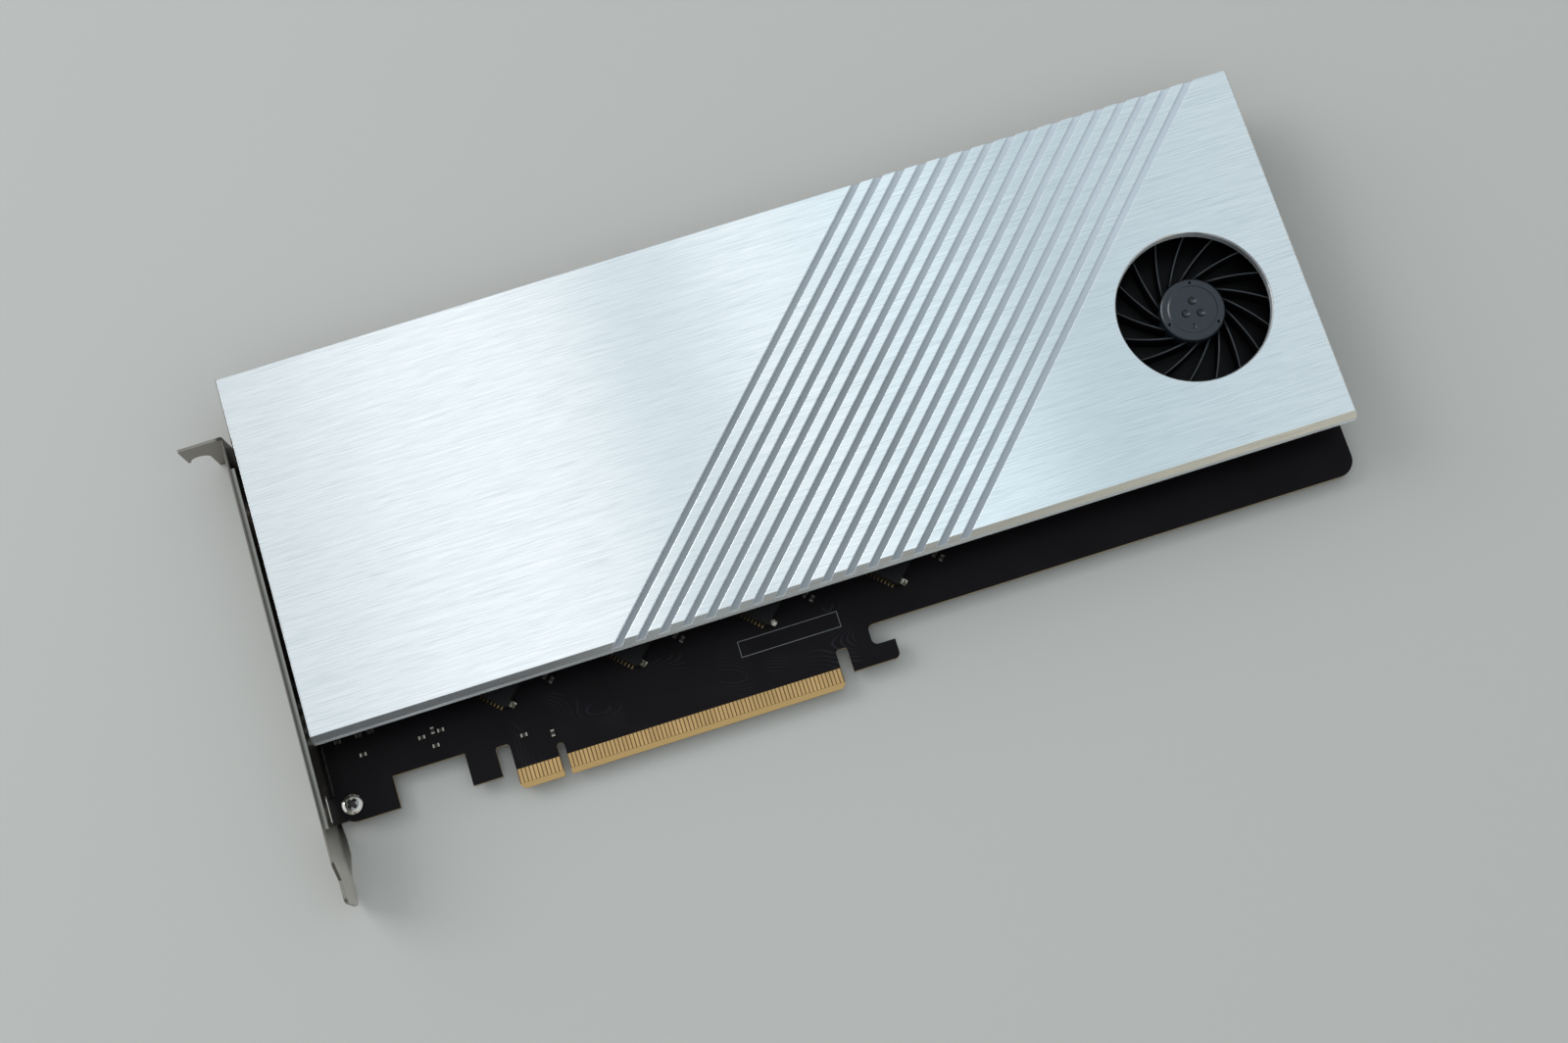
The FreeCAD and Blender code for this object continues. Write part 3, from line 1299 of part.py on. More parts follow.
def check_and_export():
    """Stops at any broken object, then writes each piece to its own file."""
    for thing in doc.Objects:
        if {"Invalid", "Error"} & set(thing.State):
            raise RuntimeError(f"{thing.Name} failed: {thing.State}")
        shape = getattr(thing, "Shape", None)
        if isinstance(shape, Part.Shape) and (shape.isNull() or not shape.isValid()):
            raise RuntimeError(f"{thing.Name} has no sound shape")
    os.makedirs("parts", exist_ok=True)
    for thing in NODES:
        thing.Shape.exportStep(f"parts/{thing.Label}.step")
        print(f"{thing.Label}: {len(thing.Shape.Solids)} solids, {thing.Shape.Volume:.1f} mm3")


build()
check_and_export()
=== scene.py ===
"""Looks of an x16 adapter card: a brushed grooved cover, a flat blower, a black board and a slot bracket.

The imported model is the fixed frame.  Every piece added here is in metres, in that frame, with its object at
the origin.  +X runs along the connector towards the fan, +Y runs up the board, +Z rises out of the board's
component face.  The sizes that finishes and pieces hold are in millimetres, and their angles in degrees.  The
studio's sizes are in metres.
"""

import logging
import math
from collections.abc import Iterable, Mapping, Sequence
from dataclasses import dataclass, field
from enum import Enum
from typing import Any, Protocol

import bpy
import numpy as np
from mathutils import Matrix, Vector


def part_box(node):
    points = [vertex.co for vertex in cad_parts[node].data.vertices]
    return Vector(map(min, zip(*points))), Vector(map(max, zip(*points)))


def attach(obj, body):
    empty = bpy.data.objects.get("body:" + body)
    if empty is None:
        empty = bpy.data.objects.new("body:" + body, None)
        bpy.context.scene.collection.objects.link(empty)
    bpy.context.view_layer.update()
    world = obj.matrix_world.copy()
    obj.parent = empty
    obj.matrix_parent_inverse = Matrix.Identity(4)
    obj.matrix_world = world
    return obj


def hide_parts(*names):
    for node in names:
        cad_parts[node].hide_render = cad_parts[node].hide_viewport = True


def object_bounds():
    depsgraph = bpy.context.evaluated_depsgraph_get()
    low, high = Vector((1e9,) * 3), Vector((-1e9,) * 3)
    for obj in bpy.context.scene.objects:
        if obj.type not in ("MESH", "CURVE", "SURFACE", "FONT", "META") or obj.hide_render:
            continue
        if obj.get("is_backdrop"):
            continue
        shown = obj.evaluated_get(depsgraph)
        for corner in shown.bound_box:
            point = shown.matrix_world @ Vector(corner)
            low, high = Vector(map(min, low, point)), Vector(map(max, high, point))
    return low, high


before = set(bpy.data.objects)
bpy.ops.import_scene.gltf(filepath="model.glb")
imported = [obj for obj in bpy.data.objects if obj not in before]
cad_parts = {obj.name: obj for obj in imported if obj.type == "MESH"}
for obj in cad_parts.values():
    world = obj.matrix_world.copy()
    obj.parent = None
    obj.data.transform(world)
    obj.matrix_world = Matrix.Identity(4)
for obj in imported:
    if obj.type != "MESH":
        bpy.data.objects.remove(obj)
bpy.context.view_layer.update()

logging.basicConfig(level=logging.INFO, format="%(name)s: %(message)s")
LOG = logging.getLogger("adapter_card")

MM = 0.001
Colour = tuple[float, float, float]
Span = tuple[float, float]
Socket = bpy.types.NodeSocket
Number = Socket | float
Tint = Socket | Colour
Mesh = tuple[np.ndarray, np.ndarray]

UNIT: Span = (0.0, 1.0)
NOISE: Span = (0.3, 0.7)  # the range that most of a noise lies in
LEVEL = 0.985  # the upright part of a normal, above which its face counts as level


class Body(str, Enum):
    """The rigid bodies that the added pieces ride on."""

    CARD = "card"
    IMPELLER = "impeller"


class Surface(Protocol):
    """Anything that makes a material."""

    def material(self) -> bpy.types.Material:
        """Builds the material."""


def shaded(colour: Colour, factor: float) -> Colour:
    """A colour made lighter or darker by a factor, and held at white."""
    return tuple(min(1.0, part * factor) for part in colour)


def cube(size: float) -> Sequence[float]:
    """The same size along all three axes."""
    return (size, size, size)


# ---------------------------------------------------------------- node trees


class Graph:
    """The node tree of a material or a world, built with short calls."""

    def __init__(self, owner: str | bpy.types.World) -> None:
        """Starts an empty tree.

        Args:
            owner: the name of a new material, or the world that gets the tree.
        """
        self.owner = bpy.data.materials.new(owner) if isinstance(owner, str) else owner
        self.owner.use_nodes = True
        self.tree = self.owner.node_tree
        self.tree.nodes.clear()

    def add(
        self, kind: str, inputs: Mapping[str | int, Any] | None = None, **settings: Any
    ) -> bpy.types.Node:
        """Adds a node.

        Args:
            kind: the node's type without its leading "ShaderNode".
            inputs: what goes into each input: another node's output, or a plain value.
            settings: the node's own properties.

        Returns:
            The new node.
        """
        node = self.tree.nodes.new("ShaderNode" + kind)
        for key, value in settings.items():
            setattr(node, key, value)
        for key, value in (inputs or {}).items():
            self.feed(node.inputs[key], value)
        return node

    def feed(self, socket: Socket, value: Any) -> None:
        """Links an output to an input, or sets the input to a plain value.

        Args:
            socket: the input.
            value: an output, a number or a vector, or a colour of three parts for an input that takes four.
        """
        if isinstance(value, Socket):
            self.tree.links.new(value, socket)
        elif socket.type == "RGBA" and len(value) == 3:
            socket.default_value = (*value, 1.0)
        else:
            socket.default_value = value

    def place(self) -> Socket:
        """The surface's own coordinates, in metres."""
        return self.add("TexCoord").outputs["Object"]

    def axis(self, vector: Socket, letter: str) -> Socket:
        """One part of a vector, by the letter of its axis."""
        return self.add("SeparateXYZ", {0: vector}).outputs[letter]

    def along(self, letter: str) -> Socket:
        """The surface's own coordinate on one axis, in metres."""
        return self.axis(self.place(), letter)

    def facing(self, letter: str) -> Socket:
        """How far the true normal points along one axis."""
        return self.axis(self.add("NewGeometry").outputs["Normal"], letter)

    def grain(self, size: Sequence[float], detail: float = 3.0, rough: float = 0.55) -> Socket:
        """Noise whose cells have a size of their own along each axis.

        Args:
            size: the cells' size along x, y and z, in millimetres.
            detail: how many finer layers lie over the first.
            rough: how strong those finer layers are.

        Returns:
            The noise, around 0.5.
        """
        scale = tuple(1.0 / (part * MM) for part in size)
        mapped = self.add("Mapping", {"Vector": self.place(), "Scale": scale})
        inputs = {"Vector": mapped.outputs[0], "Scale": 1.0, "Detail": detail, "Roughness": rough}
        return self.add("TexNoise", inputs).outputs["Fac"]

    def maths(self, operation: str, *values: Number) -> Socket:
        """Arithmetic on one to three numbers or outputs."""
        return self.add("Math", dict(enumerate(values)), operation=operation).outputs[0]

    def product(self, first: Number, *others: Number) -> Number:
        """Numbers multiplied: for masks of one and nothing, the places where they overlap.

        Args:
            first: the first number.
            others: the numbers that it is multiplied by.

        Returns:
            The product.
        """
        for other in others:
            first = self.maths("MULTIPLY", first, other)
        return first

    def rest(self, value: Number) -> Socket:
        """One less a number: for a mask, everywhere else."""
        return self.maths("SUBTRACT", 1.0, value)

    def within(self, value: Number, middle: float, half: float) -> Socket:
        """One where a number is less than half a width from the middle, and nothing elsewhere."""
        away = self.maths("ABSOLUTE", self.maths("SUBTRACT", value, middle))
        return self.maths("LESS_THAN", away, half)

    def spread(self, value: Number, low: float, high: float, to: Span = UNIT) -> Socket:
        """Maps a value from one range to another, and holds it there.

        Args:
            value: the number to map.
            low: where the first range starts.
            high: where it ends.
            to: the two ends of the second range.

        Returns:
            The mapped number.
        """
        inputs = {"Value": value, "From Min": low, "From Max": high, "To Min": to[0], "To Max": to[1]}
        return self.add("MapRange", inputs, clamp=True).outputs[0]

    def between(self, letter: str, span: Span, to: Span = UNIT) -> Socket:
        """A number that goes from one value to another between two places on an axis, in millimetres."""
        return self.spread(self.along(letter), span[0] * MM, span[1] * MM, to)

    def blend(self, factor: Number, first: Tint, second: Tint) -> Socket:
        """Mixes two colours, given as outputs or as three numbers."""
        return self.add("Mix", {0: factor, 6: first, 7: second}, data_type="RGBA").outputs[2]

    def scaled(self, colour: Tint, factor: Number) -> Socket:
        """A colour times a number."""
        grey = self.add("CombineXYZ", {0: factor, 1: factor, 2: factor}).outputs[0]
        return self.add("VectorMath", {0: colour, 1: grey}, operation="MULTIPLY").outputs[0]

    def bump(self, height: Socket, deep: float, before: Socket | None = None) -> Socket:
        """A bumpy normal.

        Args:
            height: the relief, from 0 to 1.
            deep: how many millimetres that stands for.
            before: an earlier normal to build on.

        Returns:
            The normal.
        """
        inputs: dict[str, Any] = {"Height": height, "Distance": deep * MM, "Strength": 1.0}
        if before is not None:
            inputs["Normal"] = before
        return self.add("Bump", inputs).outputs[0]

    def softened(self, radius: float) -> Socket:
        """The normal, with every sharp edge rounded off by a radius in millimetres."""
        return self.add("Bevel", {"Radius": radius * MM}, samples=6).outputs[0]

    def close(self, **inputs: Any) -> bpy.types.Material:
        """Ends a material's tree in a principled surface.

        Args:
            inputs: the surface's inputs, with underscores for the blanks in their names.

        Returns:
            The finished material.
        """
        named = {key.replace("_", " "): value for key, value in inputs.items()}
        shader = self.add("BsdfPrincipled", named)
        self.add("OutputMaterial", {"Surface": shader.outputs[0]})
        return self.owner


# ---------------------------------------------------------------- finishes


@dataclass(frozen=True)
class Finish:
    """A moulded, plated or painted surface with its own grain, and colour and gloss that vary a little."""

    name: str
    colour: Colour
    metal: float = 0.0
    rough: float = 0.45
    grain: Sequence[float] = cube(0.6)
    relief: float = 0.01
    vary: float = 0.12
    coat: float = 0.0
    shine: float = 0.5
    patch: float = 14.0
    gloss_vary: Span = (0.85, 1.18)

    def material(self) -> bpy.types.Material:
        """Builds the material.

        Returns:
            The material.
        """
        graph = Graph(self.name)
        fine = graph.grain(self.grain)
        broad = graph.grain(tuple(self.patch * size for size in self.grain), detail=2.0)
        darker, lighter = shaded(self.colour, 1 - self.vary), shaded(self.colour, 1 + self.vary)
        smooth, dull = (min(1.0, self.rough * share) for share in self.gloss_vary)
        return graph.close(
            Base_Color=graph.blend(graph.spread(broad, *NOISE), darker, lighter),
            Metallic=self.metal,
            Roughness=graph.spread(fine, 0.25, 0.75, (smooth, dull)),
            Coat_Weight=self.coat,
            Coat_Roughness=0.12,
            Specular_IOR_Level=self.shine,
            Normal=graph.bump(fine, self.relief),
        )


@dataclass(frozen=True)
class BrushedCover:
    """Anodised aluminium brushed along X, with long scratches, soft streaks, grooves milled at a slant, a
    painted reflection on the groove floors, and painted shade at the left rim and in the intake.

    Each layer of the brushing has its cells' length and width, and its share of the whole.
    """

    name: str = "cover_brushed"
    colour: Colour = (0.955, 0.965, 0.97)
    streak: Colour = (0.80, 0.83, 0.85)
    # painted reflection: a dim colour for the groove floors, made brighter by place
    milled: Colour = (0.30, 0.315, 0.335)
    layers: Sequence[tuple[float, float, float]] = ((14, 0.27, 0.5), (6, 0.16, 0.32), (30, 0.7, 0.18))
    streak_share: Span = (0.39, 0.60)
    scratch: Span = (9.0, 0.3)
    scratch_share: Span = (0.62, 0.72)
    scratch_light: Span = (1.0, 0.9)
    tall: float = 60.0
    rough: float = 0.175
    floor_rough: float = 0.12
    wall_rough: float = 0.26
    drawn: float = 0.9
    lean: float = 46.3
    edge_round: float = 0.3
    groove_from: float = 0.5
    floor_x: Span = (100.0, 220.0)
    floor_x_light: Span = (1.05, 2.85)
    floor_y: Span = (70.0, 111.67)
    floor_y_light: Span = (0.0, 0.5)
    floor_most: float = 2.4
    # painted shade along the face's left rim: where it lies and how dark
    left_rim: Span = (0.25, 0.75)
    left_painted_shade: float = 0.42
    intake: float = 19.4
    intake_rim: float = 0.45
    # where the painted shade in the intake is deepest, and how dark it gets
    lit_side: Span = (6.0, 15.0)
    lit_dark: Span = (0.15, 0.66)

    def brushing(self, graph: Graph) -> Number:
        """Layers of noise, each drawn out many times longer than it is wide, added up.

        Args:
            graph: the tree to build in.

        Returns:
            The sum, around 0.5.
        """
        total: Number = 0.0
        for long, wide, share in self.layers:
            layer = graph.grain((long, wide, self.tall), detail=2.0, rough=0.6)
            total = graph.maths("MULTIPLY_ADD", layer, share, total)
        return total

    def painted_floor_reflection(self, graph: Graph) -> Socket:
        """Painted reflection on the groove floors: their colour made brighter towards the fan and up.

        Args:
            graph: the tree to build in.

        Returns:
            The factor for the milled colour.
        """
        far = graph.between("X", self.floor_x, self.floor_x_light)
        up = graph.between("Y", self.floor_y, self.floor_y_light)
        return graph.maths("MINIMUM", graph.maths("ADD", far, up), self.floor_most)

    def grip(self, graph: Graph, cut: Number, wall: Number) -> Socket:
        """The way that the gloss is drawn out: across the brushing, across a groove, or up a wall.

        Args:
            graph: the tree to build in.
            cut: one on a groove's floor.
            wall: one on an upright wall.

        Returns:
            The tangent.
        """
        turn = math.radians(self.lean)
        along = graph.product(cut, -math.sin(turn))
        across = graph.product(graph.rest(wall), graph.maths("MULTIPLY_ADD", cut, math.cos(turn) - 1, 1.0))
        return graph.add("CombineXYZ", {0: along, 1: across, 2: wall}).outputs[0]

    def intake_painted_shade(self, graph: Graph) -> Socket:
        """Painted shade: less colour on the intake's wall and rim, and least where they face the window.

        The spot's distance from the fan's axis tells the wall and rim from the rest.

        Args:
            graph: the tree to build in.

        Returns:
            The factor for the colour.
        """
        lowest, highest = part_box("fan_impeller")
        x, y = ((low + high) / 2 for low, high in zip(lowest[:2], highest[:2]))
        level = graph.add("VectorMath", {0: graph.place(), 1: (1.0, 1.0, 0.0)}, operation="MULTIPLY")
        inputs = {0: level.outputs[0], 1: (x, y, 0.0)}
        away = graph.add("VectorMath", inputs, operation="DISTANCE").outputs["Value"]
        mouth = graph.maths("LESS_THAN", away, (self.intake + self.intake_rim) * MM)
        start, end = (x / MM + side for side in self.lit_side)
        return graph.rest(graph.product(mouth, graph.between("X", (start, end), self.lit_dark)))

    def shade(self, graph: Graph) -> Number:
        """How much colour the face keeps: painted shade at its left rim and in the intake, and less on stray
        scratches.

        Args:
            graph: the tree to build in.

        Returns:
            The factor for the colour.
        """
        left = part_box("heatsink_cover")[0][0] / MM
        start, end = (left + edge for edge in self.left_rim)
        # painted shade along the face's left rim
        rim = graph.between("X", (start, end), (self.left_painted_shade, 1.0))
        stray = graph.grain((*self.scratch, self.tall), detail=1.0, rough=0.5)
        kept = graph.spread(stray, *self.scratch_share, self.scratch_light)
        return graph.product(rim, kept, self.intake_painted_shade(graph))

    def material(self) -> bpy.types.Material:
        """Builds the material.

        Returns:
            The material.
        """
        graph = Graph(self.name)
        brushed = self.brushing(graph)
        face = graph.blend(graph.spread(brushed, *self.streak_share), self.streak, self.colour)
        face = graph.scaled(face, self.shade(graph))
        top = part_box("heatsink_cover")[1][2]
        below = graph.maths("LESS_THAN", graph.along("Z"), top - self.groove_from * MM)
        upright = graph.facing("Z")
        cut = graph.product(below, graph.maths("GREATER_THAN", upright, 0.95))
        wall = graph.within(upright, 0.0, 0.3)
        gloss = graph.spread(brushed, *NOISE, (self.rough * 1.25, self.rough * 0.85))
        gloss = graph.maths("MULTIPLY_ADD", cut, self.floor_rough, gloss)
        return graph.close(
            # the groove floors get a painted reflection, brighter towards the fan and up
            Base_Color=graph.blend(cut, face, graph.scaled(self.milled, self.painted_floor_reflection(graph))),
            Metallic=1.0,
            Roughness=graph.maths("MULTIPLY_ADD", wall, self.wall_rough, gloss),
            Anisotropic=self.drawn,
            Tangent=self.grip(graph, cut, wall),
            Normal=graph.bump(brushed, 0.002, graph.softened(self.edge_round)),
        )


@dataclass(frozen=True)
class BoardMask:
    """Black solder mask over faint copper traces, with bare glass fibre at cut edges and between contacts.

    A box holds its left, right, lower and upper side, and line is how wide the printed one's outline is.
    """

    name: str = "board_mask"
    mask: Colour = (0.0042, 0.0028, 0.0036)
    trace: Colour = (0.017, 0.016, 0.021)
    fibre: Colour = (0.40, 0.31, 0.20)
    bevel: Colour = (0.56, 0.36, 0.148)
    gaps: Colour = (0.18, 0.118, 0.052)
    ink: Colour = (0.20, 0.20, 0.19)
    bare_box: Sequence[float] = (-13.0, 73.0, -1.0, 5.05)
    traced_box: Sequence[float] = (-11.0, 78.0, 4.0, 21.0)
    frame_box: Sequence[float] = (49.4, 75.5, 14.9, 19.1)
    line: float = 0.17
    bevel_high: float = 2.2
    windings: float = 260.0

    def inside(self, graph: Graph, box: Sequence[float]) -> Number:
        """Where a spot lies in a box: one inside, nothing outside.

        Args:
            graph: the tree to build in.
            box: the box's left, right, lower and upper side.

        Returns:
            The mask.
        """
        left, right, low, high = (side * MM for side in box)
        across = graph.within(graph.along("X"), (left + right) / 2, (right - left) / 2)
        return graph.product(across, graph.within(graph.along("Y"), (low + high) / 2, (high - low) / 2))

    def traces(self, graph: Graph) -> Number:
        """Thin winding lines: the contour lines of a broad noise, in bundles.

        Args:
            graph: the tree to build in.

        Returns:
            The mask, one on a line.
        """
        broad = graph.grain((26, 15, 26), detail=0.0)
        lines = graph.spread(graph.maths("SINE", graph.product(broad, self.windings)), 0.55, 0.9)
        bundle = graph.spread(graph.grain(cube(14), detail=1.0), 0.5, 0.62)
        return graph.product(lines, bundle, self.inside(graph, self.traced_box))

    def printed(self, graph: Graph) -> Number:
        """One on the thin outline of the empty printed box, and nothing elsewhere.

        Args:
            graph: the tree to build in.

        Returns:
            The mask.
        """
        left, right, low, high = self.frame_box
        hollow = (left + self.line, right - self.line, low + self.line, high - self.line)
        return graph.maths("SUBTRACT", self.inside(graph, self.frame_box), self.inside(graph, hollow))

    def material(self) -> bpy.types.Material:
        """Builds the material.

        Returns:
            The material.
        """
        graph = Graph(self.name)
        upright = graph.facing("Z")
        level = graph.maths("GREATER_THAN", graph.maths("ABSOLUTE", upright), LEVEL)
        masked = graph.product(level, graph.rest(self.inside(graph, self.bare_box)))
        layers = graph.spread(graph.grain((9, 9, 0.12), detail=1.0), 0.35, 0.65)
        edge = graph.blend(layers, self.fibre, shaded(self.fibre, 0.7))
        low_edge = graph.maths("LESS_THAN", graph.along("Y"), self.bevel_high * MM)
        bare = graph.blend(level, graph.blend(low_edge, edge, self.bevel), self.gaps)
        lines = self.traces(graph)
        blotch = graph.spread(graph.grain(cube(12), detail=2.0), *NOISE)
        mask = graph.blend(lines, graph.blend(blotch, self.mask, shaded(self.mask, 1.5)), self.trace)
        inked = graph.product(self.printed(graph), graph.maths("GREATER_THAN", upright, LEVEL))
        fine = graph.grain(cube(0.35), detail=2.0)
        return graph.close(
            Base_Color=graph.blend(inked, graph.blend(masked, bare, mask), self.ink),
            Roughness=graph.maths("MULTIPLY_ADD", masked, -0.3, 0.7),
            Specular_IOR_Level=0.10,
            Normal=graph.bump(lines, 0.02, graph.bump(fine, 0.004)),
        )


@dataclass(frozen=True)
class FoldedSteel:
    """Nickel-plated sheet: warm grey, rolled along its length, with painted light on the tongue's inner face
    towards its tip, and painted shade near the head and on upward faces, darkest on the lugs by the face.

    Each span holds the two places between which one look passes into the next.
    """

    name: str = "bracket_steel"
    colour: Colour = (0.30, 0.277, 0.245)
    # painted light: the tongue's inner face made lighter towards its tip
    tongue: Colour = (0.86, 0.81, 0.765)
    # painted shade: the colour of the low upward faces by the face, the lugs
    cut: Colour = (0.062, 0.059, 0.053)
    crease: Colour = (0.29, 0.28, 0.255)
    # painted shade: near-black for the inner face near the head and for upward faces above 2 mm
    hidden: Colour = (0.022, 0.021, 0.019)
    tongue_y: Span = (5.0, -7.0)
    head_y: Span = (95.5, 97.0)
    outer_x: Span = (-61.0, -60.0)
    crease_x: Span = (-58.9, -58.15)
    raised_z: float = 2.0

    def material(self) -> bpy.types.Material:
        """Builds the material.

        Returns:
            The material.
        """
        graph = Graph(self.name)
        rolled = graph.grain((0.3, 9, 0.3), detail=3.0)
        cloud = graph.grain(cube(9), detail=3.0)
        inwards = graph.spread(graph.facing("X"), 0.0, 0.6)
        low = graph.between("Y", self.tongue_y)
        # painted light on the tongue's inner face, lighter towards the tip
        plated = graph.blend(graph.product(low, inwards), self.colour, self.tongue)
        # painted shade, near-black, on the inner face near the head
        plated = graph.blend(graph.product(inwards, graph.between("Y", self.head_y)), plated, self.hidden)
        top_side = graph.spread(graph.facing("Z"), 0.6, 0.95)
        # painted shade on upward faces outside the tongue: near-black above 2 mm, dark on the lugs by the
        # face
        painted_shade_tops = graph.product(top_side, graph.rest(low), graph.between("X", self.outer_x, (0.2, 1.0)))
        raised = graph.maths("GREATER_THAN", graph.along("Z"), self.raised_z * MM)
        rim = graph.blend(graph.between("X", self.crease_x), self.cut, self.crease)
        colour = graph.blend(painted_shade_tops, plated, graph.blend(raised, self.hidden, rim))
        return graph.close(
            Base_Color=graph.scaled(colour, graph.spread(cloud, *NOISE, (0.85, 1.0))),
            Metallic=1.0,
            Roughness=graph.spread(rolled, *NOISE, (0.30, 0.40)),
            Normal=graph.bump(rolled, 0.002, graph.softened(0.3)),
        )


@dataclass(frozen=True)
class BladeBlack:
    """Near-black moulding with a painted highlight on the blades' thin upward crests, a little below the
    rotor's top.
    """

    name: str = "impeller_black"
    colour: Colour = (0.0035, 0.003, 0.0035)
    # painted highlight on the blades' upward crests
    crest: Colour = (0.06, 0.066, 0.073)
    crest_drop: float = 2.2
    crest_half: float = 0.45

    def material(self) -> bpy.types.Material:
        """Builds the material.

        Returns:
            The material.
        """
        graph = Graph(self.name)
        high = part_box("fan_impeller")[1][2] - self.crest_drop * MM
        near = graph.within(graph.along("Z"), high, self.crest_half * MM)
        top_side = graph.spread(graph.facing("Z"), 0.3, 0.9)
        fine = graph.grain(cube(0.35), detail=2.0)
        # painted highlight where the blades' crests face up
        painted_crest_highlight = graph.product(near, top_side, graph.spread(fine, 0.3, 0.6, (0.6, 1.0)))
        return graph.close(
            Base_Color=graph.blend(painted_crest_highlight, self.colour, self.crest),
            Roughness=0.45,
            Specular_IOR_Level=0.16,
            Normal=graph.bump(fine, 0.006),
        )


@dataclass(frozen=True)
class LegMetal:
    """A socket's metal: dull gold legs low on the board, and a brighter tinned anchor above them."""

    name: str = "socket_leg_metal"
    leg: Colour = (0.20, 0.135, 0.065)
    tin: Colour = (0.50, 0.47, 0.40)
    anchor_from: float = 0.35

    def material(self) -> bpy.types.Material:
        """Builds the material.

        Returns:
            The material.
        """
        graph = Graph(self.name)
        anchor = graph.maths("GREATER_THAN", graph.along("Z"), self.anchor_from * MM)
        fine = graph.grain(cube(0.2), detail=2.0)
        blobs = graph.spread(graph.grain(cube(0.9), detail=1.0), 0.46, 0.54)
        tinned = graph.blend(blobs, shaded(self.tin, 0.12), self.tin)
        dulled = graph.spread(fine, *NOISE, (0.0, 0.3))
        return graph.close(
            Base_Color=graph.blend(dulled, graph.blend(anchor, self.leg, tinned), self.leg),
            Metallic=1.0,
            Roughness=graph.spread(fine, *NOISE, (0.22, 0.34)),
            Normal=graph.bump(fine, 0.004),
        )


@dataclass(frozen=True)
class ScrewNickel:
    """Bright nickel on a pan head, darker on the flat of its crown, with painted shade in its recess."""

    name: str = "fix_screw_nickel"
    bright: Colour = (0.82, 0.80, 0.76)
    crown: Colour = (0.30, 0.295, 0.28)
    # painted shade in the cross recess
    recess: Colour = (0.04, 0.04, 0.038)
    crown_z: Span = (1.52, 1.68)
    recess_z: Span = (0.3, 0.86)

    def material(self) -> bpy.types.Material:
        """Builds the material.

        Returns:
            The material.
        """
        graph = Graph(self.name)
        low, high = self.recess_z
        deep = graph.within(graph.along("Z"), (low + high) / 2 * MM, (high - low) / 2 * MM)
        fine = graph.grain(cube(0.4), detail=2.0)
        head = graph.blend(graph.between("Z", self.crown_z), self.bright, self.crown)
        return graph.close(
            # painted shade in the recess
            Base_Color=graph.blend(deep, head, self.recess),
            Metallic=1.0,
            Roughness=graph.spread(fine, *NOISE, (0.13, 0.2)),
            Normal=graph.bump(fine, 0.003),
        )


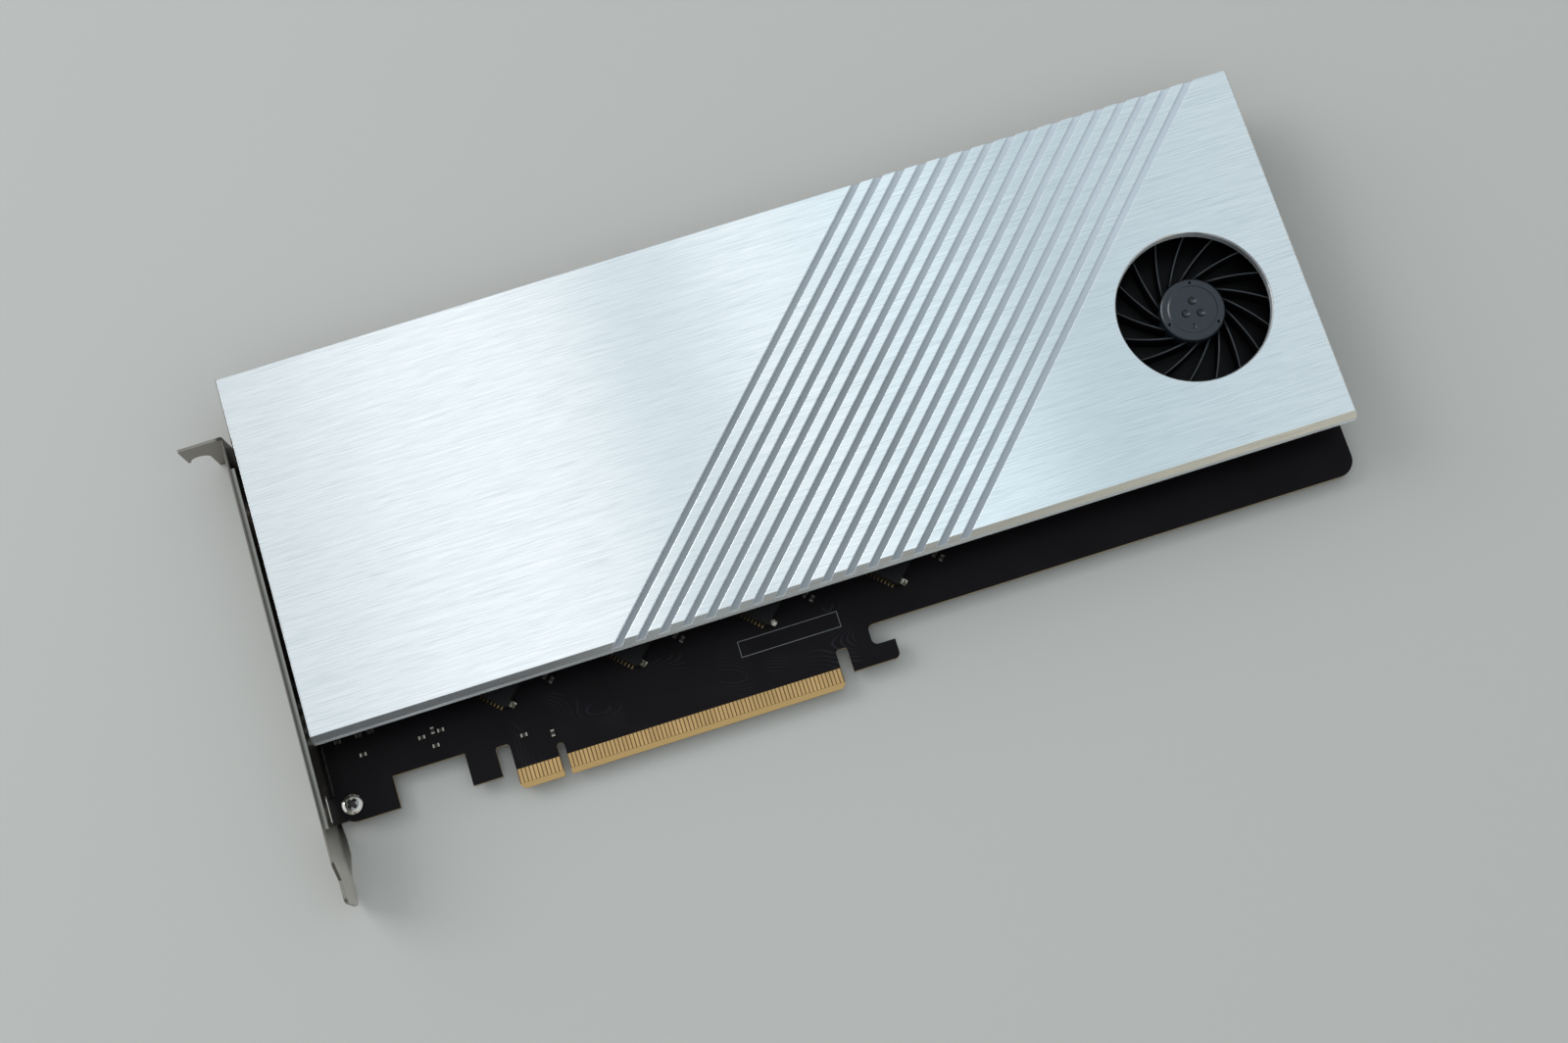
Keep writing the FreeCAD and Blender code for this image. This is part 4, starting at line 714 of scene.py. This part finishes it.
# A plain finish's numbers are its colour, metal, roughness, grain size and relief.
FINISHES: Mapping[str, Surface] = {
    "circuit_board": BoardMask(),
    "contacts_front": Finish("contact_gold", (0.57, 0.355, 0.155), 1.0, 0.34, (0.25, 0.9, 0.25), 0.003),
    "contacts_back": Finish("contact_gold_back", (0.57, 0.355, 0.155), 1.0, 0.34, (0.25, 0.9, 0.25), 0.003),
    "m2_socket": Finish("socket_black", (0.007, 0.0065, 0.0065), 0.0, 0.55, cube(0.3), 0.006, shine=0.2),
    "socket_metal": LegMetal(),
    "thermal_pad": Finish("thermal_grey", (0.30, 0.32, 0.36), 0.0, 0.85, cube(0.5), 0.03),
    "cover_posts": Finish("cover_post_metal", (0.70, 0.60, 0.38), 1.0, 0.3, (0.2, 0.2, 2.0), 0.003),
    "drive_posts": Finish("drive_post_metal", (0.72, 0.62, 0.40), 1.0, 0.3, (0.2, 0.2, 1.0), 0.003),
    "drive_screws": Finish("drive_screw_steel", (0.55, 0.55, 0.56), 1.0, 0.3, cube(0.2), 0.003),
    "cover_screws": Finish("cover_screw_steel", (0.22, 0.22, 0.23), 1.0, 0.34, cube(0.2), 0.004),
    "fan_screws": Finish("fan_screw_steel", (0.50, 0.50, 0.51), 1.0, 0.3, cube(0.2), 0.004),
    "heatsink_cover": BrushedCover(),
    "fan_case": Finish("fan_case_black", (0.0035, 0.003, 0.0035), 0.0, 0.5, cube(0.35), 0.01, shine=0.12),
    "fan_impeller": BladeBlack(),
    "fan_shaft": Finish("shaft_steel", (0.62, 0.62, 0.64), 1.0, 0.18, (0.1, 0.1, 1.0), 0.001),
    "fan_bearing": Finish("bearing_brass", (0.62, 0.45, 0.22), 1.0, 0.42, cube(0.1), 0.006),
    "fan_stator": Finish("coil_copper", (0.55, 0.22, 0.09), 1.0, 0.3, (1.6, 1.6, 0.25), 0.03),
    "fan_magnet_ring": Finish("magnet_dark", (0.06, 0.06, 0.065), 0.6, 0.5, cube(0.2), 0.005),
    "fan_motor_board": Finish(
        "motor_board_green", (0.02, 0.10, 0.045), 0.0, 0.35, cube(0.8), 0.006, coat=0.4
    ),
    "fan_header": Finish("header_white", (0.72, 0.69, 0.60), 0.0, 0.5, cube(0.4), 0.008),
    "fan_header_pins": Finish("pin_metal", (0.78, 0.65, 0.38), 1.0, 0.25, (0.1, 0.1, 0.8), 0.002),
    "bracket": FoldedSteel(),
    "bracket_screws": ScrewNickel(),
    "fan_switch_body": Finish("switch_black", (0.02, 0.02, 0.02), 0.0, 0.5, cube(0.3), 0.006),
    "fan_switch_slider": Finish("switch_white", (0.70, 0.70, 0.67), 0.0, 0.45, cube(0.3), 0.006),
    "status_lamps": Finish("lamp_clear", (0.78, 0.80, 0.76), 0.0, 0.22, cube(0.5), 0.003, coat=0.5),
    "power_inductors": Finish("inductor_grey", (0.06, 0.06, 0.065), 0.3, 0.6, cube(0.15), 0.02),
    "power_capacitors": Finish("can_metal", (0.68, 0.68, 0.70), 1.0, 0.3, (0.2, 0.2, 3.0), 0.002),
    "voltage_regulators": Finish("regulator_black", (0.018, 0.018, 0.02), 0.0, 0.48, cube(0.15), 0.006),
    "clock_chips": Finish("chip_black", (0.018, 0.018, 0.02), 0.0, 0.48, cube(0.15), 0.006),
    # painted shade: the small parts' tan colour kept very dim
    "small_parts": Finish("ceramic_tan", (0.035, 0.027, 0.02), 0.0, 0.5, cube(0.2), 0.004, shine=0.3),
    "small_part_caps": Finish("cap_tin", (0.36, 0.34, 0.29), 1.0, 0.3, cube(0.2), 0.004),
}


# ---------------------------------------------------------------- surfaces


def add_mesh(name: str, points: np.ndarray, faces: np.ndarray, smooth: bool = True) -> bpy.types.Object:
    """Makes an object from arrays.

    Args:
        name: the piece's name.
        points: an (n, 3) array of places, in metres.
        faces: an (m, 3) or (m, 4) array of corner numbers, turning left seen from outside.
        smooth: whether the faces are shaded as one curved surface.

    Returns:
        The new object, at the origin.
    """
    mesh = bpy.data.meshes.new(name)
    mesh.from_pydata(points.tolist(), [], faces.tolist())
    mesh.polygons.foreach_set("use_smooth", np.full(len(mesh.polygons), smooth))
    mesh.update()
    piece = bpy.data.objects.new(name, mesh)
    bpy.context.scene.collection.objects.link(piece)
    return piece


def grid_faces(rows: int, columns: int, round_columns: bool = False) -> np.ndarray:
    """Four-cornered faces between the points of a grid that is stored row by row.

    Args:
        rows: how many rows of points there are.
        columns: how many points a row has.
        round_columns: whether each row closes on itself.

    Returns:
        An (m, 4) array of corner numbers.
    """
    wide = columns if round_columns else columns - 1
    row, column = np.meshgrid(np.arange(rows - 1), np.arange(wide), indexing="ij")
    start = row * columns + column
    side = row * columns + (column + 1) % columns
    return np.stack([start, side, side + columns, start + columns], -1).reshape(-1, 4)


def joined(parts: Iterable[Mesh]) -> Mesh:
    """Several meshes as one.

    Args:
        parts: the points and faces of each mesh, all with faces of the same number of corners.

    Returns:
        The points and faces of the whole.
    """
    points, faces, count = [], [], 0
    for some_points, some_faces in parts:
        points.append(some_points)
        faces.append(some_faces + count)
        count += len(some_points)
    return np.concatenate(points), np.concatenate(faces)


def smoothstep(low: float | np.ndarray, high: float | np.ndarray, value: np.ndarray) -> np.ndarray:
    """Rises smoothly from 0 to 1 as value goes from low to high."""
    t = np.clip((value - low) / (high - low), 0.0, 1.0)
    return t * t * (3 - 2 * t)


def circles(radii: np.ndarray, sides: int) -> tuple[np.ndarray, np.ndarray]:
    """The x and the y of points on circles about the origin, with a row for each radius."""
    angle = np.linspace(0, 2 * math.pi, sides, endpoint=False)
    return radii[:, None] * np.cos(angle), radii[:, None] * np.sin(angle)


def spun(x: np.ndarray, y: np.ndarray, degrees: float) -> tuple[np.ndarray, np.ndarray]:
    """How far points lie along a direction, and how far to the left of it."""
    c, s = math.cos(math.radians(degrees)), math.sin(math.radians(degrees))
    return x * c + y * s, y * c - x * s


def turned(middle: Sequence[float], radii: np.ndarray, heights: np.ndarray, sides: int) -> Mesh:
    """A profile turned round an upright axis: x = r cos a, y = r sin a, z as in the profile.

    Args:
        middle: the axis's x and y, in millimetres.
        radii: the profile's distances from the axis, from the inside of the face outwards and down.
        heights: the profile's heights, one number each or one for each side.
        sides: how many steps a turn has.

    Returns:
        The points and faces.
    """
    x, y = circles(radii, sides)
    z = np.broadcast_to(heights.reshape(len(radii), -1), x.shape)
    points = np.stack([middle[0] + x, middle[1] + y, z], -1).reshape(-1, 3) * MM
    return points, grid_faces(len(radii), sides, round_columns=True)[:, ::-1]


# ---------------------------------------------------------------- sub-assemblies


@dataclass
class Piece:
    """What every added piece needs: its finish and the body that it rides on."""

    def dress(
        self, piece: bpy.types.Object, finish: Surface, body: Body, slot: str, replaces: Sequence[str] = ()
    ) -> bpy.types.Object:
        """Gives a piece its finish and its body, and hides the CAD nodes that it stands for.

        Args:
            piece: the new object.
            finish: what makes its material.
            body: the body that it rides on.
            slot: not used.
            replaces: the CAD nodes that it stands for.

        Returns:
            The same object.
        """
        piece.data.materials.append(finish.material())
        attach(piece, body.value)
        if replaces:
            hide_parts(*replaces)
        LOG.info("%s: %d faces", piece.name, len(piece.data.polygons))
        return piece


@dataclass
class Impeller(Piece):
    """The blower's rotor: a stepped hub with dimples, a disc, and thin swept blades.

    A pit holds its distance from the axis, its radius and its depth.  Each span of the mark holds where its
    slope starts and where it ends.
    """

    hub: float = 8.3
    hub_round: float = 0.9
    hub_walls: Sequence[float] = (2.2, 4.5)
    hub_foot: float = 0.2
    hub_lap: float = 0.1
    step: Span = (5.85, 6.45)
    step_high: float = 0.3
    pits: Sequence[tuple[float, float, float]] = ((2.2, 1.12, 0.7), (7.15, 0.42, 0.8))
    pit_turns: Sequence[float] = (76.5, 196.5, 316.5)
    mark_turn: float = 256.5
    mark_away: float = 4.5
    mark_long: Span = (0.55, 0.7)
    mark_wide: Span = (0.22, 0.34)
    mark_deep: float = 0.4
    plate: float = 0.9
    hollow: float = 7.4
    hollow_roof: float = 1.3
    bore: float = 0.95
    blades: int = 17
    first_blade: float = -12.3
    sweep: float = 40.0
    bow: float = 0.6
    blade_root: float = 8.1
    tip_gap: float = 0.25
    foot: float = 0.5
    root_thick: float = 0.5
    tip_thick: float = 0.36
    root_drop: float = 1.7
    tip_drop: float = 0.25
    axis: np.ndarray = field(init=False)
    low: float = field(init=False)
    top: float = field(init=False)
    reach: float = field(init=False)

    def __post_init__(self) -> None:
        """Reads the rotor's place and size from the frame."""
        lowest, highest = (np.array(corner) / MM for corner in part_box("fan_impeller"))
        self.axis = (lowest[:2] + highest[:2]) / 2
        self.low, self.top = float(lowest[2]), float(highest[2])
        self.reach = float(highest[0] - lowest[0]) / 2

    def hub_mesh(self) -> Mesh:
        """The hub's outside: a face with a raised disc, pits and a mark, then a rounded rim and a wall.

        The face's height is the top, less a smooth step outside the disc, less a round pit for each dimple
        and hole.  A pit's depth is its full depth times one minus the squared distance, kept above zero.

        Returns:
            The points and faces.
        """
        sides = 300
        face = np.linspace(0.02, self.hub - self.hub_round, 110)
        turn = np.linspace(0, math.pi / 2, 9)[1:]
        rim_r = self.hub - self.hub_round * (1 - np.sin(turn))
        rim_z = self.top - self.hub_round * (1 - np.cos(turn))
        wall_z = np.array([*(self.top - drop for drop in self.hub_walls), self.low + self.hub_foot])
        radii = np.concatenate([face, rim_r, np.full(len(wall_z), self.hub)])
        x, y = circles(radii, sides)
        z = np.concatenate([np.full(len(face), self.top), rim_z, wall_z])[:, None] + 0 * x
        z = z - self.step_high * smoothstep(*self.step, radii[:, None])
        for degrees in self.pit_turns:
            along, across = spun(x, y, degrees)
            for distance, wide, deep in self.pits:
                gap = np.hypot(along - distance, across) / wide
                z = z - deep * np.clip(1 - gap**2, 0, 1)
        along, across = spun(x, y, self.mark_turn)
        mark = 1 - smoothstep(*self.mark_long, np.abs(along - self.mark_away))
        mark = mark * (1 - smoothstep(*self.mark_wide, np.abs(across)))
        return turned(self.axis, radii, z - self.mark_deep * mark, sides)

    def disc_mesh(self) -> Mesh:
        """The disc below the blades, with a rounded edge, and the hub's hollow underneath.

        Returns:
            The points and faces.
        """
        half = self.plate / 2
        edge = np.linspace(0, math.pi, 9)
        edge_r = self.reach - half + half * np.sin(edge)
        edge_z = self.low + half + half * np.cos(edge)
        roof = self.top - self.hollow_roof
        radii = np.concatenate([[self.hub - self.hub_lap], edge_r, [self.hollow, self.hollow, self.bore]])
        heights = np.concatenate([[self.low + self.plate], edge_z, [self.low, roof, roof]])
        return turned(self.axis, radii, heights, 160)

    def blade_line(self, number: int, t: np.ndarray) -> np.ndarray:
        """One blade's middle line, seen from above.

        It is the chord from the root to the swept tip, plus a bow of one minus the squared place along it.

        Args:
            number: which blade of the ring.
            t: the places along it, from 0 at the root to 1 at the tip.

        Returns:
            An (n, 2) array of places about the fan's axis.
        """
        start = math.radians(self.first_blade + 360 / self.blades * number)
        end = start - math.radians(self.sweep)
        root = self.blade_root * np.array([math.cos(start), math.sin(start)])
        tip = (self.reach - self.tip_gap) * np.array([math.cos(end), math.sin(end)])
        chord = (tip - root) / np.linalg.norm(tip - root)
        bow = self.bow * (1 - (2 * t - 1) ** 2)
        return root + t[:, None] * (tip - root) + bow[:, None] * np.array([-chord[1], chord[0]])

    def blade_mesh(self, number: int) -> Mesh:
        """One blade: an upright section with a half-round top, carried from the hub to the tip.

        Args:
            number: which blade of the ring.

        Returns:
            The points and faces.
        """
        t = np.linspace(0, 1, 22)
        line = self.blade_line(number, t)
        slope = np.gradient(line, axis=0)
        slope /= np.linalg.norm(slope, axis=1)[:, None]
        normal = np.stack([-slope[:, 1], slope[:, 0]], -1)
        half = (self.root_thick + (self.tip_thick - self.root_thick) * t) / 2
        top = self.top - self.root_drop - self.tip_drop * t
        turn = np.linspace(0, math.pi, 7)
        sides = np.concatenate([[1.0], np.cos(turn), [-1.0]])
        heights = np.full((len(t), len(sides)), self.low + self.foot)
        heights[:, 1:-1] = (top - half)[:, None] + np.sin(turn) * half[:, None]
        across = half[:, None] * sides
        flat = self.axis + line[:, None, :] + normal[:, None, :] * across[..., None]
        points = np.concatenate([flat, heights[..., None]], -1)
        count = len(sides)
        k = np.arange((count - 1) // 2)
        cap = np.stack([k, k + 1, count - 2 - k, count - 1 - k], -1)
        faces = [grid_faces(len(t), count), cap[:, ::-1], cap + (len(t) - 1) * count]
        return points.reshape(-1, 3) * MM, np.concatenate(faces)

    def build(self) -> None:
        """Makes the hub, and the ring of blades with its disc, which together stand for the CAD rotor."""
        hub = add_mesh("impeller_hub", *self.hub_mesh())
        finish = Finish("hub_charcoal", (0.0085, 0.0130, 0.019), 0.0, 0.26, cube(0.22), 0.004, shine=0.65)
        self.dress(hub, finish, Body.IMPELLER, "fan_charcoal")
        ring = joined([self.disc_mesh(), *(self.blade_mesh(number) for number in range(self.blades))])
        blades = add_mesh("impeller_blades", *ring)
        self.dress(blades, FINISHES["fan_impeller"], Body.IMPELLER, "fan_charcoal", ["fan_impeller"])


@dataclass
class FixScrews(Piece):
    """The two pan-head screws on the bracket's lugs: a dome with a cross recess."""

    radius: float = 2.65
    high: float = 1.9
    edge: float = 0.06
    fall: float = 0.52
    recess: float = 1.55
    recess_wide: float = 0.44
    recess_deep: float = 1.2
    shank_wide: float = 1.45
    shank_tip: float = 1.2
    shank_bevel: float = 0.25
    lower_turn: float = 38.0
    upper_turn: float = 12.0

    def cross(self, u: np.ndarray, v: np.ndarray) -> np.ndarray:
        """The recess's share of its full depth: two crossed arms that narrow and grow shallow outwards.

        Args:
            u: the points' places along one arm.
            v: their places along the other.

        Returns:
            The shares, from 0 to 1.
        """
        arms = []
        for along, across in ((np.abs(u), np.abs(v)), (np.abs(v), np.abs(u))):
            wide = self.recess_wide * (1.15 - 0.35 * along / self.recess)
            beside = 1 - smoothstep(wide * 0.75, wide * 1.25, across)
            arms.append(beside * (1 - smoothstep(self.recess * 0.55, self.recess, along)))
        return np.maximum(*arms)

    def head(self, x: float, y: float, turn: float) -> Mesh:
        """One head, on a grid of radius by angle, whose height falls with the radius to the power of 3.2.

        Args:
            x: the head's middle along the card.
            y: the head's middle above the connector's edge.
            turn: the angle of the cross.

        Returns:
            The points and faces.
        """
        sides = 96
        share = np.linspace(0.005, 1, 60)
        px, py = circles(share * self.radius, sides)
        dome = self.high * (1 - self.fall * share**3.2)[:, None]
        dome = dome - self.recess_deep * self.cross(*spun(px, py, turn))
        radii = np.concatenate([share, [1.0, 0.99]]) * self.radius
        rim = np.repeat([[self.edge], [0.0]], sides, 1)
        return turned((x, y), radii, np.concatenate([dome, rim]), sides)

    def shank(self, x: float, y: float) -> Mesh:
        """The screw's lower end, which stands out behind the bracket's lug.

        Args:
            x: the screw's middle along the card.
            y: the screw's middle above the connector's edge.

        Returns:
            The points and faces.
        """
        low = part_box("bracket_screws")[0][2] / MM
        radii = np.array([self.shank_wide, self.shank_wide, self.shank_tip, 0.01])
        return turned((x, y), radii, np.array([0.0, low + self.shank_bevel, low, low]), 48)

    def build(self) -> None:
        """Makes both screws from the CAD screws' box."""
        low, high = (np.array(corner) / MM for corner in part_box("bracket_screws"))
        x = (low[0] + high[0]) / 2
        spots = ((x, low[1] + self.radius, self.lower_turn), (x, high[1] - self.radius, self.upper_turn))
        parts = [part for spot in spots for part in (self.head(*spot), self.shank(*spot[:2]))]
        piece = add_mesh("bracket_screw_pair", *joined(parts))
        self.dress(piece, FINISHES["bracket_screws"], Body.CARD, "fix_screw_chrome", ["bracket_screws"])


@dataclass
class CadFinishes:
    """The finishes of the CAD nodes that stay in view."""

    def build(self, hidden: Iterable[str]) -> None:
        """Gives each node its material.

        Args:
            hidden: the nodes that a piece stands for.
        """
        skipped = set(hidden)
        made: dict[str, bpy.types.Material] = {}
        for name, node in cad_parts.items():
            if name in skipped:
                continue
            key = name if name in FINISHES else name.rsplit("_", 1)[0]
            if key not in made:
                made[key] = FINISHES[key].material()
            node.data.materials.clear()
            node.data.materials.append(made[key])
            LOG.info("%s: %s", name, made[key].name)


# ---------------------------------------------------------------- studio


@dataclass
class Studio:
    """The floor, the light and the camera.

    A band of the ceiling holds where it lies, by x over z; how bright it is; and how blue.  A stop of the
    walls holds where it lies, by x, and its colour.  The spans hold where one part passes into the next.
    """

    eye: Sequence[float] = (0.05125, -0.09148, 0.57442)
    target: Sequence[float] = (0.06982, 0.04510, 0.0)
    right: Sequence[float] = (0.95414, -0.29671, -0.0397)
    lens: float = 53.6
    floor_colour: Colour = (0.54, 0.522, 0.49)
    floor_half: float = 6.0
    backdrop: Colour = (0.72, 0.70, 0.68)
    bands: Sequence[tuple[float, float, float]] = (
        (-0.40, 0.62, 0.8),
        (-0.19, 0.80, 0.5),
        (-0.11, 1.06, 0.35),
        (-0.036, 1.04, 0.35),
        (-0.018, 0.76, 0.8),
        (0.014, 0.74, 0.8),
        (0.036, 1.00, 0.5),
        (0.056, 1.10, 0.45),
        (0.085, 0.93, 0.7),
        (0.112, 0.96, 0.9),
        (0.143, 1.01, 0.8),
        (0.160, 0.70, 1.0),
        (0.175, 0.61, 1.1),
        (0.21, 0.67, 1.0),
        (0.265, 0.73, 0.8),
        (0.40, 0.74, 0.7),
    )
    walls: Sequence[tuple[float, Colour]] = (
        (-0.50, (0.54, 0.56, 0.575)),
        (-0.26, (0.050, 0.052, 0.054)),
        (-0.08, (0.050, 0.052, 0.054)),
        (-0.03, (0.26, 0.275, 0.265)),
        (0.05, (0.235, 0.24, 0.23)),
        (0.117, (0.325, 0.305, 0.25)),
        (0.185, (0.435, 0.408, 0.325)),
        (0.26, (0.47, 0.44, 0.35)),
        (0.31, (0.47, 0.44, 0.36)),
        (0.46, (0.54, 0.56, 0.575)),
    )
    behind: Sequence[Colour] = ((1.0, 1.03, 1.05), (0.5, 0.5, 0.5))
    behind_x: Span = (-0.7, 0.4)
    behind_y: Span = (-0.45, 0.3)
    ceiling_z: Span = (0.35, 0.75)
    window_place: Sequence[float] = (-1.15, 1.05, 0.95)
    window_side: float = 1.15
    window_power: float = 14.0
    window_colour: Colour = (0.96, 0.98, 1.0)

    def camera(self) -> None:
        """Looks steeply down from the connector's side, with the card turned in the frame."""
        back = (Vector(self.eye) - Vector(self.target)).normalized()
        across = Vector(self.right)
        across = (across - back * across.dot(back)).normalized()
        turned = Matrix((across, back.cross(across), back)).transposed().to_4x4()
        data = bpy.data.cameras.new("camera")
        data.sensor_width = 36.0
        data.lens = self.lens
        data.clip_start, data.clip_end = 0.01, 30.0
        camera = bpy.data.objects.new("camera", data)
        camera.matrix_world = Matrix.Translation(self.eye) @ turned
        bpy.context.scene.collection.objects.link(camera)
        bpy.context.scene.camera = camera

    def floor(self) -> None:
        """A plain pale floor just below the card."""
        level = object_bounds()[0][2]
        corners = np.array([[-1, -1, 0], [1, -1, 0], [1, 1, 0], [-1, 1, 0]]) * self.floor_half
        floor = add_mesh("floor", corners + [0, 0, level], np.array([[0, 1, 2, 3]]), smooth=False)
        graph = Graph("floor_pale")
        floor.data.materials.append(graph.close(Base_Color=self.floor_colour, Roughness=0.75))
        floor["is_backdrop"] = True

    def ramp(self, graph: Graph, value: Number, stops: Sequence[tuple[float, Colour]]) -> Socket:
        """A smooth run of colours.

        Args:
            graph: the tree to build in.
            value: the number to look up.
            stops: each stop's number and colour, in rising order.

        Returns:
            The colour.
        """
        low, high = stops[0][0], stops[-1][0]
        node = graph.add("ValToRGB", {0: graph.spread(value, low, high)})
        node.color_ramp.interpolation = "EASE"
        elements = node.color_ramp.elements
        while len(elements) < len(stops):
            elements.new(0.5)
        for element, (where, colour) in zip(elements, stops):
            element.position = (where - low) / (high - low)
            element.color = (*colour, 1.0)
        return node.outputs[0]

    def daylight(self, light: float, blue: float) -> Colour:
        """A band's colour, from how bright and how blue it is."""
        return (light * (1 - 0.17 * blue), light, light * (1 + 0.08 * blue))

    def sky(self) -> None:
        """Soft light from above in bands that run along Y, dim walls in front and a bright one behind."""
        world = bpy.data.worlds.new("studio")
        bpy.context.scene.world = world
        graph = Graph(world)
        way = graph.add("TexCoord").outputs["Generated"]
        x, y, z = (graph.axis(way, letter) for letter in "XYZ")
        slope = graph.maths("DIVIDE", x, graph.maths("MAXIMUM", z, 0.05))
        ceiling = self.ramp(graph, slope, [(where, self.daylight(*look)) for where, *look in self.bands])
        front = self.ramp(graph, x, self.walls)
        behind = graph.blend(graph.spread(x, *self.behind_x), *self.behind)
        wall = graph.blend(graph.spread(y, *self.behind_y), front, behind)
        seen = graph.blend(graph.spread(z, *self.ceiling_z), wall, ceiling)
        direct = graph.add("LightPath").outputs["Is Camera Ray"]
        colour = graph.blend(direct, seen, self.backdrop)
        background = graph.add("Background", {0: colour, 1: 1.0})
        graph.add("OutputWorld", {0: background.outputs[0]})

    def lamp(self, name: str, place: Sequence[float], size: float, power: float, colour: Colour) -> None:
        """A square soft lamp that looks at the card's middle.

        Args:
            name: its name.
            place: where it hangs, in metres.
            size: its side, in metres.
            power: its power, in watts.
            colour: its colour.
        """
        data = bpy.data.lights.new(name, "AREA")
        data.size, data.energy, data.color = size, power, colour
        lamp = bpy.data.objects.new(name, data)
        lamp.location = place
        lamp.rotation_euler = (Vector(place) - Vector(self.target)).to_track_quat("Z", "Y").to_euler()
        bpy.context.scene.collection.objects.link(lamp)

    def build(self) -> None:
        """Sets the camera, the floor and the light."""
        self.camera()
        self.floor()
        self.sky()
        self.lamp("window_lamp", self.window_place, self.window_side, self.window_power, self.window_colour)
        bpy.context.scene.view_settings.view_transform = "Standard"


def main() -> None:
    """Builds every piece in order."""
    Impeller().build()
    FixScrews().build()
    CadFinishes().build(["fan_impeller", "bracket_screws"])
    Studio().build()


if __name__ == "__main__":
    main()
